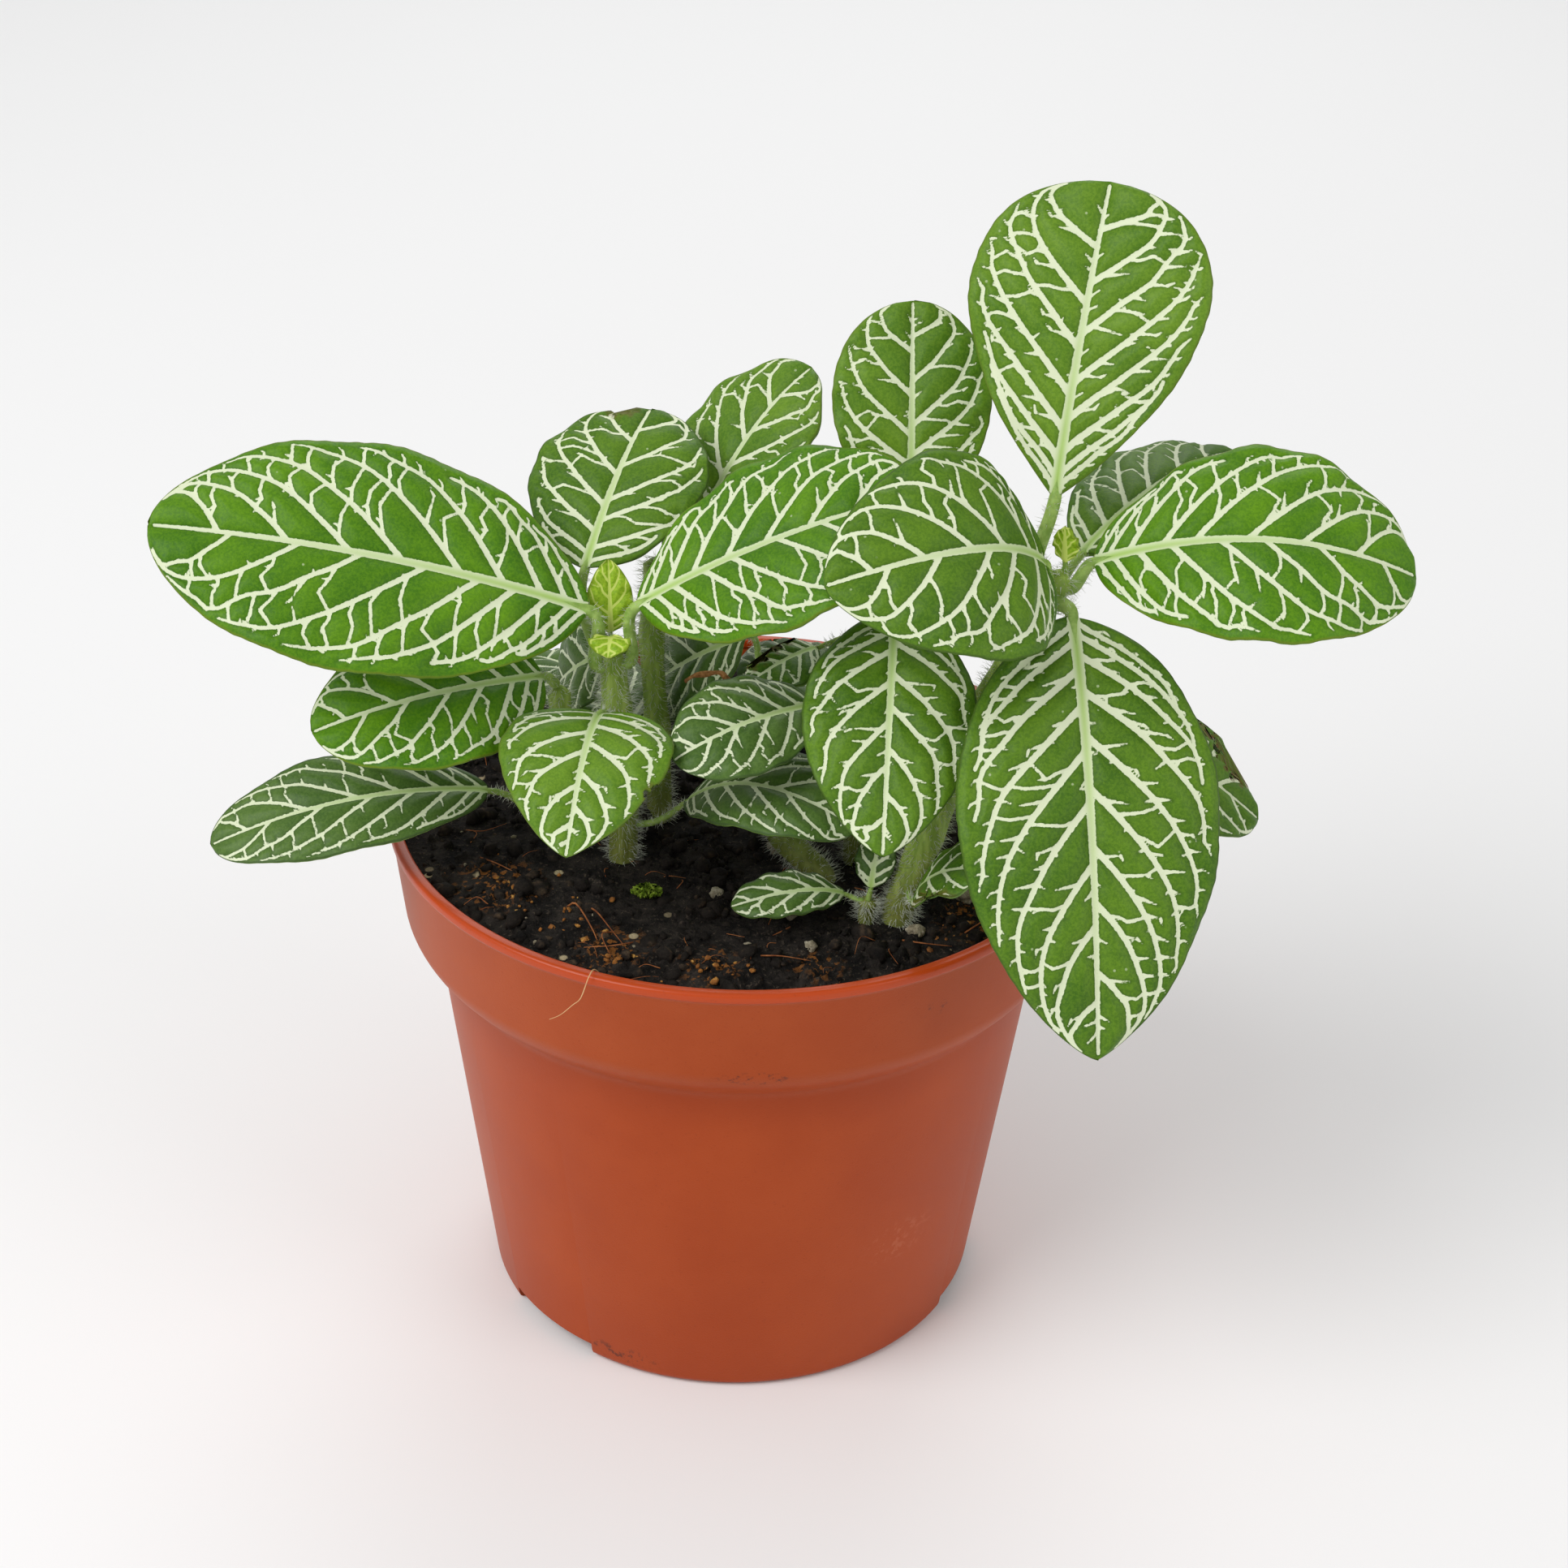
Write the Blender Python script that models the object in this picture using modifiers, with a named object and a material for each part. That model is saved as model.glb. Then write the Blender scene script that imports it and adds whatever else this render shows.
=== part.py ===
"""Potted nerve plant: rooted cuttings with net-veined leaves in a thin plastic nursery pot.

Units are metres and +Z is up. The origin is under the middle of the whole plant, level with the
pot's underside. The pot, the potting mix, each rooted stem and each leaf is its own object.
"""

import math

import bmesh
import bpy
import numpy as np
from mathutils import Matrix, Vector

MM = 0.001

# ---------------------------------------------------------------- driving dimensions
# Pot: injection-moulded, with a wide collar, a foot ring and drainage slots at its foot.
POT_HEIGHT = 83 * MM
RIM_RADIUS = 53 * MM
COLLAR_HEIGHT = 17 * MM
COLLAR_TAPER = 1.8 * MM
STEP_HEIGHT = 4.5 * MM
STEP_DEPTH = 4.6 * MM
FOOT_RADIUS = 38.5 * MM
POT_WALL = 1.2 * MM
RIM_LIP = 1.9 * MM
RIM_LIP_HEIGHT = 1.6 * MM
RIM_BEAD = 0.4 * MM
FOOT_RECESS = 1.0 * MM
FOOT_RING_WIDTH = 3.0 * MM
BASE_WALL = 1.2 * MM
EDGE_ROUND = 1.5 * MM
POT_STEPS = 48

SLOT_COUNT = 3
SLOT_WIDTH = 18 * MM
SLOT_HEIGHT = 2.6 * MM
SLOT_BEARING = -136  # degrees from +X to the first slot

# Potting mix, filled to just under the rim and a little higher in the middle.
FILL_BELOW_RIM = 4.2 * MM
MOUND = 1.6 * MM
MIX_STEPS = 32

GAP = 0.3 * MM  # between touching pieces
PLANTING_DEPTH = 16 * MM
LEAF_THICKNESS = 0.9 * MM
BUD_THICKNESS = 0.6 * MM
LEAF_STATIONS = 8
STALK_STATIONS = 3
STEM_SIDES = 8
STEM_STATIONS = 9

# The leaves reach further to +X and -Y than they do the other way, so the pot's axis stands off
# the middle of the whole plant by this much.
POT_AXIS = (-4.9 * MM, 2.7 * MM)

MOUTH_RADIUS = RIM_RADIUS - RIM_LIP
COLLAR_FOOT = POT_HEIGHT - COLLAR_HEIGHT
MIX_TOP = POT_HEIGHT - FILL_BELOW_RIM  # at the wall
UP = np.array([0.0, 0.0, 1.0])

# ---------------------------------------------------------------- the plant's layout
# Lengths in the three tables below are in millimetres. A stem is planted at a bearing (degrees
# from +X) and at a reach from the pot's axis. Its points run up from the surface of the potting
# mix, and its radius goes from the first number at its foot to the second at its top.
STEMS = {
    "left": dict(bearing=218, reach=21.5, radius=(2.2, 1.9),
        points=[(0, 0, 0), (0.2, 0, 13), (-0.8, 0, 26), (-1.6, -1, 37)]),
    "left_rear": dict(bearing=190, reach=12.3, radius=(2.0, 1.6),
        points=[(0, 0, 0), (-0.5, 2, 15), (-1.5, 4, 30), (-1, 6, 42)]),
    "left_side": dict(bearing=201, reach=25.6, radius=(1.8, 1.5),
        points=[(0, 0, 0), (-1.5, 0, 12), (-2.5, -1, 28)]),
    "middle": dict(bearing=303, reach=22.5, radius=(2.2, 1.7),
        points=[(0, 0, 0), (-6, 3, 8), (-9, 8, 17), (-9, 11, 26)]),
    "centre": dict(bearing=325, reach=21.5, radius=(2.1, 1.8),
        points=[(0, 0, 0), (-0.5, 0.5, 15), (1, 1, 32), (4.5, 0.5, 48)]),
    "right": dict(bearing=311, reach=35.8, radius=(2.4, 1.9),
        points=[(0, 0, 0), (3.5, 1, 14), (11, 4, 34), (20.5, 7, 53.5)]),
    "offset": dict(bearing=304, reach=33.7, radius=(1.3, 1.1),
        points=[(0, 0, 0), (0.2, -0.3, 4.5)]),
}

# A leaf is measured from its stem's point, counted from 0. Its stalk leaves the stem `down`
# below that point and runs to the base, where the blade begins. arch lifts the midrib near the
# base and near the tip, and sway bends it sideways. roll turns the blade about its midrib, fold
# tilts its halves up at the midrib and curl bends them on outwards, in degrees. taper sets how
# drawn out the blade's base and tip are: less is blunter.
LEAVES = {
    "leaf_left_large": dict(stem="left", point=3, down=3, base=(-3, -2, 6.5), tip=(-63, -4, 18.5),
        width=35, arch=(5.5, 5), roll=-38, fold=10, curl=-25, taper=(0.62, 0.58)),
    "leaf_left_back": dict(stem="left", point=3, down=5, base=(-4, 6, 9), tip=(4, 30, 23),
        width=26.5, arch=(2, 3), roll=0, fold=10, curl=-25, taper=(0.62, 0.55)),
    "leaf_left_inner": dict(stem="left", point=3, down=3, base=(4, -2, 7.5), tip=(42.5, -4, 26.5),
        width=30, arch=(3, 3), roll=28, fold=10, curl=-25, taper=(0.62, 0.55)),
    "leaf_left_front": dict(stem="left", point=2, down=0, base=(-2, -7, 3), tip=(-5, -31, -6),
        width=24.5, arch=(6, 3), roll=0, fold=14, curl=-30, taper=(0.4, 0.78)),
    "leaf_left_lower": dict(stem="left_side", point=2, down=0, base=(-2, -3, 3), tip=(-33, -16, 0),
        width=23, arch=(3, 4), roll=-32, fold=10, curl=-25, taper=(0.48, 0.55)),
    "leaf_left_lowest": dict(stem="left_side", point=0, down=-4, base=(-12.5, -6, 13),
        tip=(-51, -17, 9),
        width=17, arch=(6, 6), roll=-25, fold=10, curl=-25, taper=(0.62, 0.55)),
    "leaf_left_low_right": dict(stem="left", point=0, down=-5, base=(9.5, -2.5, 12.5),
        tip=(34, -16.5, 17),
        width=16, arch=(8, 8), roll=20, fold=10, curl=-25, taper=(0.62, 0.55)),
    "leaf_rear": dict(stem="left_rear", point=3, down=1, base=(3.5, 2, -1.5), tip=(22, 14, 24.5),
        width=25, arch=(3, 4), sway=(1, -1), roll=5, fold=10, curl=-20, taper=(0.62, 0.55)),
    "leaf_rear_right": dict(stem="left_rear", point=3, down=5, base=(3.5, 5, -3), tip=(19, 32, -13),
        width=21, arch=(3, 4), roll=0, fold=10, curl=-25, taper=(0.62, 0.55)),
    "leaf_rear_dark": dict(stem="left_rear", point=2, down=0, base=(-5.5, 0, -2.5),
        tip=(-14.5, 8, -13),
        width=14, arch=(2, 2), roll=-60, fold=10, curl=-25, taper=(0.62, 0.55)),
    "leaf_rear_low": dict(stem="left_rear", point=1, down=0, base=(-2.5, 5, -2), tip=(-22, 30, -4),
        width=19, arch=(3, 4), roll=0, fold=10, curl=-25, taper=(0.62, 0.55)),
    "leaf_middle_left": dict(stem="middle", point=3, down=0, base=(-3, 7, 6), tip=(-18, 20, -10.5),
        width=17, arch=(2, 2), roll=-60, fold=10, curl=-25, taper=(0.62, 0.55)),
    "leaf_centre_back": dict(stem="centre", point=3, down=2, base=(1, 6, 8), tip=(0.5, 20, 33),
        width=22.5, arch=(1, 1), roll=0, fold=10, curl=-20, taper=(0.55, 0.5)),
    "leaf_centre_front": dict(stem="centre", point=3, down=2, base=(-1, -8, -2), tip=(-2, -33, -26),
        width=24, arch=(4, 3), roll=0, fold=10, curl=-25, taper=(0.6, 0.75)),
    "leaf_centre_left": dict(stem="centre", point=2, down=1, base=(-8, -7, -1.5),
        tip=(-27.5, -18, -5),
        width=16, arch=(3, 4), roll=-28, fold=10, curl=-25, taper=(0.62, 0.55)),
    "leaf_centre_torn": dict(stem="centre", point=2, down=-5, base=(-8, 5.5, 1), tip=(-17.5, -0.5, -2),
        width=11, arch=(1, 1), roll=-10, fold=10, curl=-25, taper=(0.62, 0.55)),
    "leaf_centre_right": dict(stem="centre", point=2, down=0, base=(2.5, 4.5, 0), tip=(20, 31.5, -1),
        width=22, arch=(3, 4), roll=0, fold=10, curl=-25, taper=(0.62, 0.55)),
    "leaf_centre_rear": dict(stem="centre", point=1, down=0, base=(-2, 5, 2), tip=(-13, 34, 4),
        width=20, arch=(3, 4), roll=0, fold=10, curl=-25, taper=(0.62, 0.55)),
    "leaf_right_tall": dict(stem="right", point=3, down=4, base=(-1.5, 6, 8), tip=(4.5, 24, 47),
        width=33.5, arch=(2, 2), roll=0, fold=10, curl=-20, taper=(0.95, 0.5)),
    "leaf_right_inner": dict(stem="right", point=3, down=2, base=(-3, -2, 2), tip=(-33, -20, 6.5),
        width=31, arch=(12, 8), roll=-42, fold=10, curl=-30, taper=(0.42, 0.62)),
    "leaf_right_outer": dict(stem="right", point=3, down=2, base=(4, 0, 1.5), tip=(47, -4, 2.5),
        width=30.5, arch=(10, 11), roll=34, fold=10, curl=-25, taper=(0.62, 0.55)),
    "leaf_right_front": dict(stem="right", point=3, down=4, base=(1, -6, -4), tip=(6, -38, -54.5),
        width=36.5, arch=(6, 4), roll=0, fold=10, curl=-25, taper=(0.6, 0.75)),
    "leaf_right_back": dict(stem="right", point=3, down=9, base=(3, 6, 0), tip=(27.5, 36, 2.5),
        width=22, arch=(4, 4), roll=0, fold=10, curl=-25, taper=(0.62, 0.55)),
    "leaf_right_torn": dict(stem="right", point=2, down=0, base=(8, 6, 1), tip=(40.5, 5, -20.5),
        width=24, arch=(3, 2), roll=15, fold=10, curl=-25, taper=(0.62, 0.55)),
    "leaf_right_rear": dict(stem="right", point=1, down=0, base=(2, 5, 2), tip=(19, 32, 3),
        width=20, arch=(3, 4), roll=0, fold=10, curl=-25, taper=(0.62, 0.55)),
    "leaf_right_low": dict(stem="right", point=0, down=-4, base=(2, -6.5, 8.5), tip=(11.5, -12.5, 17),
        width=12, arch=(3, 3), roll=20, fold=10, curl=-25, taper=(0.62, 0.55)),
    "leaf_offset_left": dict(stem="offset", point=1, down=0.5, base=(-3.5, 0.5, 0.5),
        tip=(-19.5, -5.5, 1.5),
        width=8, arch=(3, 2), roll=-20, fold=10, curl=-25, taper=(0.62, 0.55)),
    "leaf_offset_upright": dict(stem="offset", point=1, down=0, base=(0.3, 0.2, 1.8), tip=(1.5, 3.9, 8.5),
        width=6, arch=(0.5, 0.5), roll=0, fold=10, curl=-25, taper=(0.62, 0.55)),
    "bud_left_upper": dict(stem="left", point=3, down=0, base=(0, 0, 2), tip=(-0.5, 3, 12),
        width=6.6, arch=(0.5, 0.5), roll=0, fold=10, curl=-10, taper=(0.6, 0.8)),
    "bud_left_lower": dict(stem="left", point=3, down=0, base=(0.3, -2.6, 2.5), tip=(0, -6, 1),
        width=6, arch=(1, 0.5), roll=0, fold=10, curl=-10, taper=(0.6, 0.8)),
    "bud_right": dict(stem="right", point=3, down=0, base=(0, 0, 1.6), tip=(-0.4, -0.8, 7),
        width=3.8, arch=(0.2, 0.2), roll=0, fold=10, curl=-10, taper=(0.6, 0.8)),
}

# A withered stalk on the stem "middle": how far it bends and ends from where it leaves the stem.
DRY_STALK = dict(bend=(-3, 1, 9), end=(-10.5, 1.5, 3.5), radius=0.5)

# Loose things on the mix: bearing in degrees, reach and size across in millimetres.
GRAINS = {
    "perlite_1": (-62, 12.3, 3.0), "perlite_2": (-74, 29.1, 2.2), "perlite_3": (-33, 39.9, 3.2),
    "perlite_4": (-73, 37.3, 1.8), "perlite_5": (-50, 40.4, 2.4), "perlite_6": (-97, 23.5, 2.0),
    "perlite_7": (75, 28.1, 2.8), "perlite_8": (128, 34.7, 2.2), "moss_tuft": (-118, 27.1, 5.0),
}
# ---------------------------------------------------------------- curves shared by leaves and stems
def unit(vector):
    return vector / np.linalg.norm(vector)


def square_to(vector, axis):
    """The part of a vector that is square to a unit axis, at length 1."""
    return unit(vector - axis * (axis @ vector))


def turned(vector, axis, degrees):
    """A vector turned about a unit axis by the right-hand rule."""
    angle = math.radians(degrees)
    along = axis * (axis @ vector) * (1 - math.cos(angle))
    return vector * math.cos(angle) + np.cross(axis, vector) * math.sin(angle) + along


def bezier(points, t):
    """A point of a cubic Bezier curve and the curve's direction there."""
    a, b, c, d = points
    s = 1 - t
    place = a * s**3 + 3 * b * s * s * t + 3 * c * s * t * t + d * t**3
    return place, unit((b - a) * s * s + 2 * (c - b) * s * t + (d - c) * t * t)


def stem_root(stem):
    """Where a stem comes out of the potting mix."""
    bearing = math.radians(stem["bearing"])
    mouth = RIM_RADIUS - COLLAR_TAPER - RIM_BEAD - STEP_DEPTH - POT_WALL
    reach = min(stem["reach"] * MM, mouth - max(stem["radius"]) * MM - 2 * GAP)
    return np.array([reach * math.cos(bearing), reach * math.sin(bearing), MIX_TOP])


def stem_path(stem):
    """The stem's listed points in place, with the first raised clear of the mix."""
    points = [stem_root(stem) + np.array(p) * MM for p in stem["points"]]
    points[0][2] += MOUND + 2 * GAP
    return points


def stem_stations(stem):
    """Points and radii up a stem: straight in the mix, then a smooth curve through its points."""
    knots = stem_path(stem)
    ends = [2 * knots[0] - knots[1], *knots, 2 * knots[-1] - knots[-2]]
    foot, top = (r * MM for r in stem["radius"])
    places = [knots[0] - UP * (PLANTING_DEPTH + MOUND + 2 * GAP)]
    for k in range(STEM_STATIONS + 1):
        u = k / STEM_STATIONS * (len(knots) - 1)
        i = min(int(u), len(knots) - 2)
        t = u - i
        a, b, c, d = ends[i:i + 4]
        places.append(0.5 * (2 * b + (c - a) * t + (2 * a - 5 * b + 4 * c - d) * t * t
                             + (3 * b - a - 3 * c + d) * t**3))
    radii = [foot] + [foot + (top - foot) * k / STEM_STATIONS for k in range(STEM_STATIONS + 1)]
    return places, radii


def stem_spot(stem, point, down):
    """The axis of a stem `down` below one of its points: place, direction and radius."""
    knots = stem_path(stem)
    before = knots[max(point - 1, 0)]
    axis = unit(knots[point] - before) if point else unit(knots[1] - knots[0])
    foot, top = (r * MM for r in stem["radius"])
    radius = max(foot, top) if point == 0 else foot + (top - foot) * point / (len(knots) - 1)
    return knots[point] - axis * down * MM, axis, radius


def blade_frame(leaf):
    """The midrib as a cubic Bezier curve, and the blade's sideways direction."""
    node = stem_root(STEMS[leaf["stem"]]) + np.array(STEMS[leaf["stem"]]["points"][leaf["point"]]) * MM
    base = node + np.array(leaf["base"]) * MM
    tip = node + np.array(leaf["tip"]) * MM
    chord = unit(tip - base)
    lift = turned(square_to(UP, chord), chord, leaf["roll"])
    side = np.cross(chord, lift)
    bends = zip(leaf["arch"], leaf.get("sway", (0, 0)))
    near, far = (lift * arch * MM + side * sway * MM for arch, sway in bends)
    third = (tip - base) / 3
    return (base, base + third + near, tip - third + far, tip), side


def half_width(leaf, t):
    """Half of the blade's width at t along its midrib."""
    near, far = leaf["taper"]
    widest = near / (near + far)
    full = widest**near * (1 - widest)**far
    return leaf["width"] * MM / 2 * t**near * (1 - t)**far / full


def blade_point(leaf, t, v):
    """A point of the blade's middle surface and the normal there.

    t runs from the base to the tip, and v from -1 to 1 across the blade, with 0 on the midrib.
    """
    midrib, side = blade_frame(leaf)
    place, along = bezier(midrib, t)
    side = square_to(side, along)
    lift = np.cross(side, along)
    fold, curl = math.radians(leaf["fold"]), math.radians(leaf["curl"])
    bend = fold + curl * abs(v)
    out = side if v >= 0 else -side
    reach = half_width(leaf, t) / curl
    place = (place + out * reach * (math.sin(bend) - math.sin(fold))
             + lift * reach * (math.cos(fold) - math.cos(bend)))
    return place, lift * math.cos(bend) - out * math.sin(bend)


# ---------------------------------------------------------------- collections and materials
def new_collection(name):
    made = bpy.data.collections.new(name)
    bpy.context.scene.collection.children.link(made)
    return made


def new_material(name, colour, roughness, metallic=0.0):
    made = bpy.data.materials.new(name)
    made.use_nodes = True
    shader = made.node_tree.nodes["Principled BSDF"]
    shader.inputs["Base Color"].default_value = (*colour, 1.0)
    shader.inputs["Roughness"].default_value = roughness
    shader.inputs["Metallic"].default_value = metallic
    made.diffuse_color = (*colour, 1.0)
    return made


def new_piece(name, rings, material, collection):
    """A closed solid lofted through rings of points, all of one count, with fans at its ends."""
    mesh = bpy.data.meshes.new(name)
    work = bmesh.new()
    rows = [[work.verts.new(Vector(p)) for p in ring] for ring in rings]
    for lower, upper in zip(rows, rows[1:]):
        for k in range(len(lower)):
            n = (k + 1) % len(lower)
            work.faces.new((lower[k], lower[n], upper[n], upper[k]))
    for row in (rows[0], rows[-1]):
        middle = work.verts.new(sum((v.co for v in row), Vector()) / len(row))
        for k in range(len(row)):
            work.faces.new((row[k], row[(k + 1) % len(row)], middle))
    bmesh.ops.recalc_face_normals(work, faces=work.faces)
    bmesh.ops.triangulate(work, faces=work.faces)
    work.to_mesh(mesh)
    work.free()
    mesh.shade_smooth()
    mesh.materials.append(material)
    made = bpy.data.objects.new(name, mesh)
    collection.objects.link(made)
    return made


def new_turned(name, profile, steps, material, collection):
    """A solid of revolution about Z from a profile of (radius, height), axis to axis."""
    mesh = bpy.data.meshes.new(name)
    mesh.from_pydata([(r, 0, z) for r, z in profile], [(k, k + 1) for k in range(len(profile) - 1)], [])
    mesh.materials.append(material)
    made = bpy.data.objects.new(name, mesh)
    collection.objects.link(made)
    screw = made.modifiers.new("turn", "SCREW")
    screw.steps = screw.render_steps = steps
    screw.use_merge_vertices = True
    screw.merge_threshold = 0.00001
    screw.use_smooth_shade = True
    return made


def cut(piece, cutter, name):
    cutter.hide_render = True
    cutter.display_type = "WIRE"
    boolean = piece.modifiers.new(name, "BOOLEAN")
    boolean.operation = "DIFFERENCE"
    boolean.solver = "EXACT"
    boolean.object = cutter


def ring_round(centre, axis, across, radius, sides):
    """Points of a circle, the first one at -across and the rest by way of across x axis."""
    across = square_to(across, axis)
    over = np.cross(across, axis)
    turns = (2 * math.pi * k / sides for k in range(sides))
    return [centre + radius * (over * math.sin(a) - across * math.cos(a)) for a in turns]


for old in list(bpy.data.objects):
    bpy.data.objects.remove(old)
plant = new_collection("potted_nerve_plant")
cutters = new_collection("cutters")

plastic = new_material("terracotta_plastic", (0.40, 0.085, 0.030), 0.42)
mix = new_material("potting_mix", (0.018, 0.014, 0.011), 0.95)
stalk = new_material("stem_green", (0.18, 0.27, 0.07), 0.55)
green = new_material("leaf_green", (0.060, 0.165, 0.035), 0.40)
fresh = new_material("bud_green", (0.30, 0.42, 0.06), 0.45)
dry = new_material("dry_stalk_brown", (0.17, 0.085, 0.04), 0.80)
perlite = new_material("perlite_white", (0.62, 0.60, 0.54), 0.85)
moss = new_material("moss_green", (0.16, 0.30, 0.03), 0.90)


# ---------------------------------------------------------------- pot
def corner(a, b, c, radius, steps=3):
    """Points that round the corner b of a profile a-b-c."""
    a, b, c = (np.array(p) for p in (a, b, c))
    start, end = b + unit(a - b) * radius, b + unit(c - b) * radius
    made = []
    for k in range(steps + 1):
        t = k / steps
        made.append(tuple(start * (1 - t)**2 + 2 * b * t * (1 - t) + end * t * t))
    return made


def pot_inside():
    """The inner side from the floor's middle up to the mouth."""
    floor = FOOT_RECESS + BASE_WALL
    step_top = RIM_RADIUS - COLLAR_TAPER - POT_WALL - RIM_BEAD
    step_foot = step_top - STEP_DEPTH
    rise = POT_WALL * math.tan(math.radians(22.5))
    lean = (step_foot - FOOT_RADIUS + POT_WALL) / (COLLAR_FOOT - STEP_HEIGHT)
    floor_edge = (FOOT_RADIUS - POT_WALL + lean * floor, floor)
    foot = (step_foot, COLLAR_FOOT - STEP_HEIGHT + rise)
    top = (step_top, COLLAR_FOOT + rise)
    mouth = (RIM_RADIUS - RIM_BEAD - POT_WALL, POT_HEIGHT - RIM_LIP_HEIGHT)
    return [
        (0, floor),
        *corner((0, floor), floor_edge, foot, EDGE_ROUND),
        *corner(floor_edge, foot, top, EDGE_ROUND / 2, 2),
        *corner(foot, top, mouth, EDGE_ROUND / 2, 2),
        mouth,
        (MOUTH_RADIUS, POT_HEIGHT - RIM_LIP_HEIGHT * 0.6),
        (MOUTH_RADIUS, POT_HEIGHT - RIM_LIP_HEIGHT * 0.25),
    ]


def pot_outside():
    """The outer side from the rim down and across the foot to the axis."""
    collar_foot = (RIM_RADIUS - COLLAR_TAPER - RIM_BEAD, COLLAR_FOOT)
    body_top = (collar_foot[0] - STEP_DEPTH, COLLAR_FOOT - STEP_HEIGHT)
    under_bead = (RIM_RADIUS - RIM_BEAD, POT_HEIGHT - RIM_LIP_HEIGHT)
    ring_edge = FOOT_RADIUS - FOOT_RING_WIDTH
    edge = RIM_LIP_HEIGHT * 0.3
    return [
        (MOUTH_RADIUS + edge, POT_HEIGHT),
        *corner((MOUTH_RADIUS, POT_HEIGHT), (RIM_RADIUS, POT_HEIGHT), (RIM_RADIUS, COLLAR_FOOT), edge, 2),
        (RIM_RADIUS, POT_HEIGHT - RIM_LIP_HEIGHT * 0.75),
        under_bead,
        *corner(under_bead, collar_foot, body_top, EDGE_ROUND),
        *corner(collar_foot, body_top, (FOOT_RADIUS, 0), EDGE_ROUND / 2, 2),
        *corner(body_top, (FOOT_RADIUS, 0), (ring_edge, 0), EDGE_ROUND / 2),
        (ring_edge, 0),
        (ring_edge - FOOT_RECESS / 2, FOOT_RECESS),
        (0, FOOT_RECESS),
    ]


pot = new_turned("pot", pot_inside() + pot_outside(), POT_STEPS, plastic, plant)
for k in range(SLOT_COUNT):
    bearing = math.radians(SLOT_BEARING + 360 * k / SLOT_COUNT)
    depth = 2 * FOOT_RING_WIDTH + 2 * EDGE_ROUND
    box = bpy.data.meshes.new(f"slot_{k}")
    work = bmesh.new()
    bmesh.ops.create_cube(work, size=1, matrix=Matrix.Rotation(bearing, 4, "Z")
                          @ Matrix.Translation((FOOT_RADIUS, 0, 0))
                          @ Matrix.Diagonal((depth, SLOT_WIDTH, 2 * SLOT_HEIGHT, 1)))
    work.to_mesh(box)
    work.free()
    cutter = bpy.data.objects.new(f"slot_{k}", box)
    cutters.objects.link(cutter)
    cut(pot, cutter, f"drain slot {k}")

# ---------------------------------------------------------------- potting mix
inside = [(max(r - GAP, 0), z + GAP) for r, z in pot_inside()]
wall = [p for p in inside if p[1] < MIX_TOP]
(r0, z0), (r1, z1) = inside[len(wall) - 1], inside[len(wall)]
edge = r0 + (r1 - r0) * (MIX_TOP - z0) / (z1 - z0)
heap = [(edge * s, MIX_TOP + MOUND * (1 - s * s)) for s in (1, 0.97, 0.85, 0.7, 0.55, 0.4, 0.2, 0)]
soil = new_turned("potting_mix", wall + heap, MIX_STEPS, mix, plant)

# ---------------------------------------------------------------- stems
for name, stem in STEMS.items():
    places, radii = stem_stations(stem)
    rings = []
    for k, (place, radius) in enumerate(zip(places, radii)):
        axis = unit(places[min(k + 1, len(places) - 1)] - places[max(k - 1, 0)]) if k > 1 else UP
        rings.append(ring_round(place, axis, np.array([1.0, 0, 0]), radius, STEM_SIDES))
    new_piece(f"stem_{name}", rings, stalk, plant)
    foot = places[0] - UP * GAP
    bore = [foot + UP * h for h in (0, PLANTING_DEPTH + 2 * MOUND + 4 * GAP)]
    across = np.array([1.0, 0, 0])
    rings = [ring_round(p, UP, across, radii[0] + GAP, STEM_SIDES) for p in bore]
    cut(soil, new_piece(f"bore_{name}", rings, stalk, cutters), f"bore for {name}")


# ---------------------------------------------------------------- leaves
def stalk_curve(leaf):
    """The leaf stalk's curve from the stem's surface to the blade, and its radii at its ends."""
    stem = STEMS[leaf["stem"]]
    start, axis, stem_radius = stem_spot(stem, leaf["point"], leaf["down"])
    (base, control, _, _), _ = blade_frame(leaf)
    on_top = leaf["point"] == len(stem["points"]) - 1 and leaf["down"] == 0
    across = base - start - axis * (axis @ (base - start))
    if on_top and np.linalg.norm(across) < stem_radius:
        away = axis
        start = start + away * GAP
    else:
        away = unit(base - start) if on_top and (base - start) @ axis > 0 else unit(across)
        start = start + away * (stem_radius + GAP)
    radius = min(max(leaf["width"] * 0.034, 0.45), 1.15) * MM
    reach = np.linalg.norm(base - start) * 0.4
    return (start, start + away * reach, base - unit(control - base) * reach, base), radius


def blade_ring(leaf, t, thickness):
    """Eight points round the blade at t: its two edges, three above and three below."""
    made = []
    for v, face in ((-1, 0), (-0.55, 1), (0, 1), (0.55, 1), (1, 0), (0.55, -1), (0, -1.6), (-0.55, -1)):
        place, normal = blade_point(leaf, t, v)
        if v == 0:
            normal = 0.5 * (normal + blade_point(leaf, t, -1e-6)[1])
        made.append(place + normal * face * thickness / 2)
    return made


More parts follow.
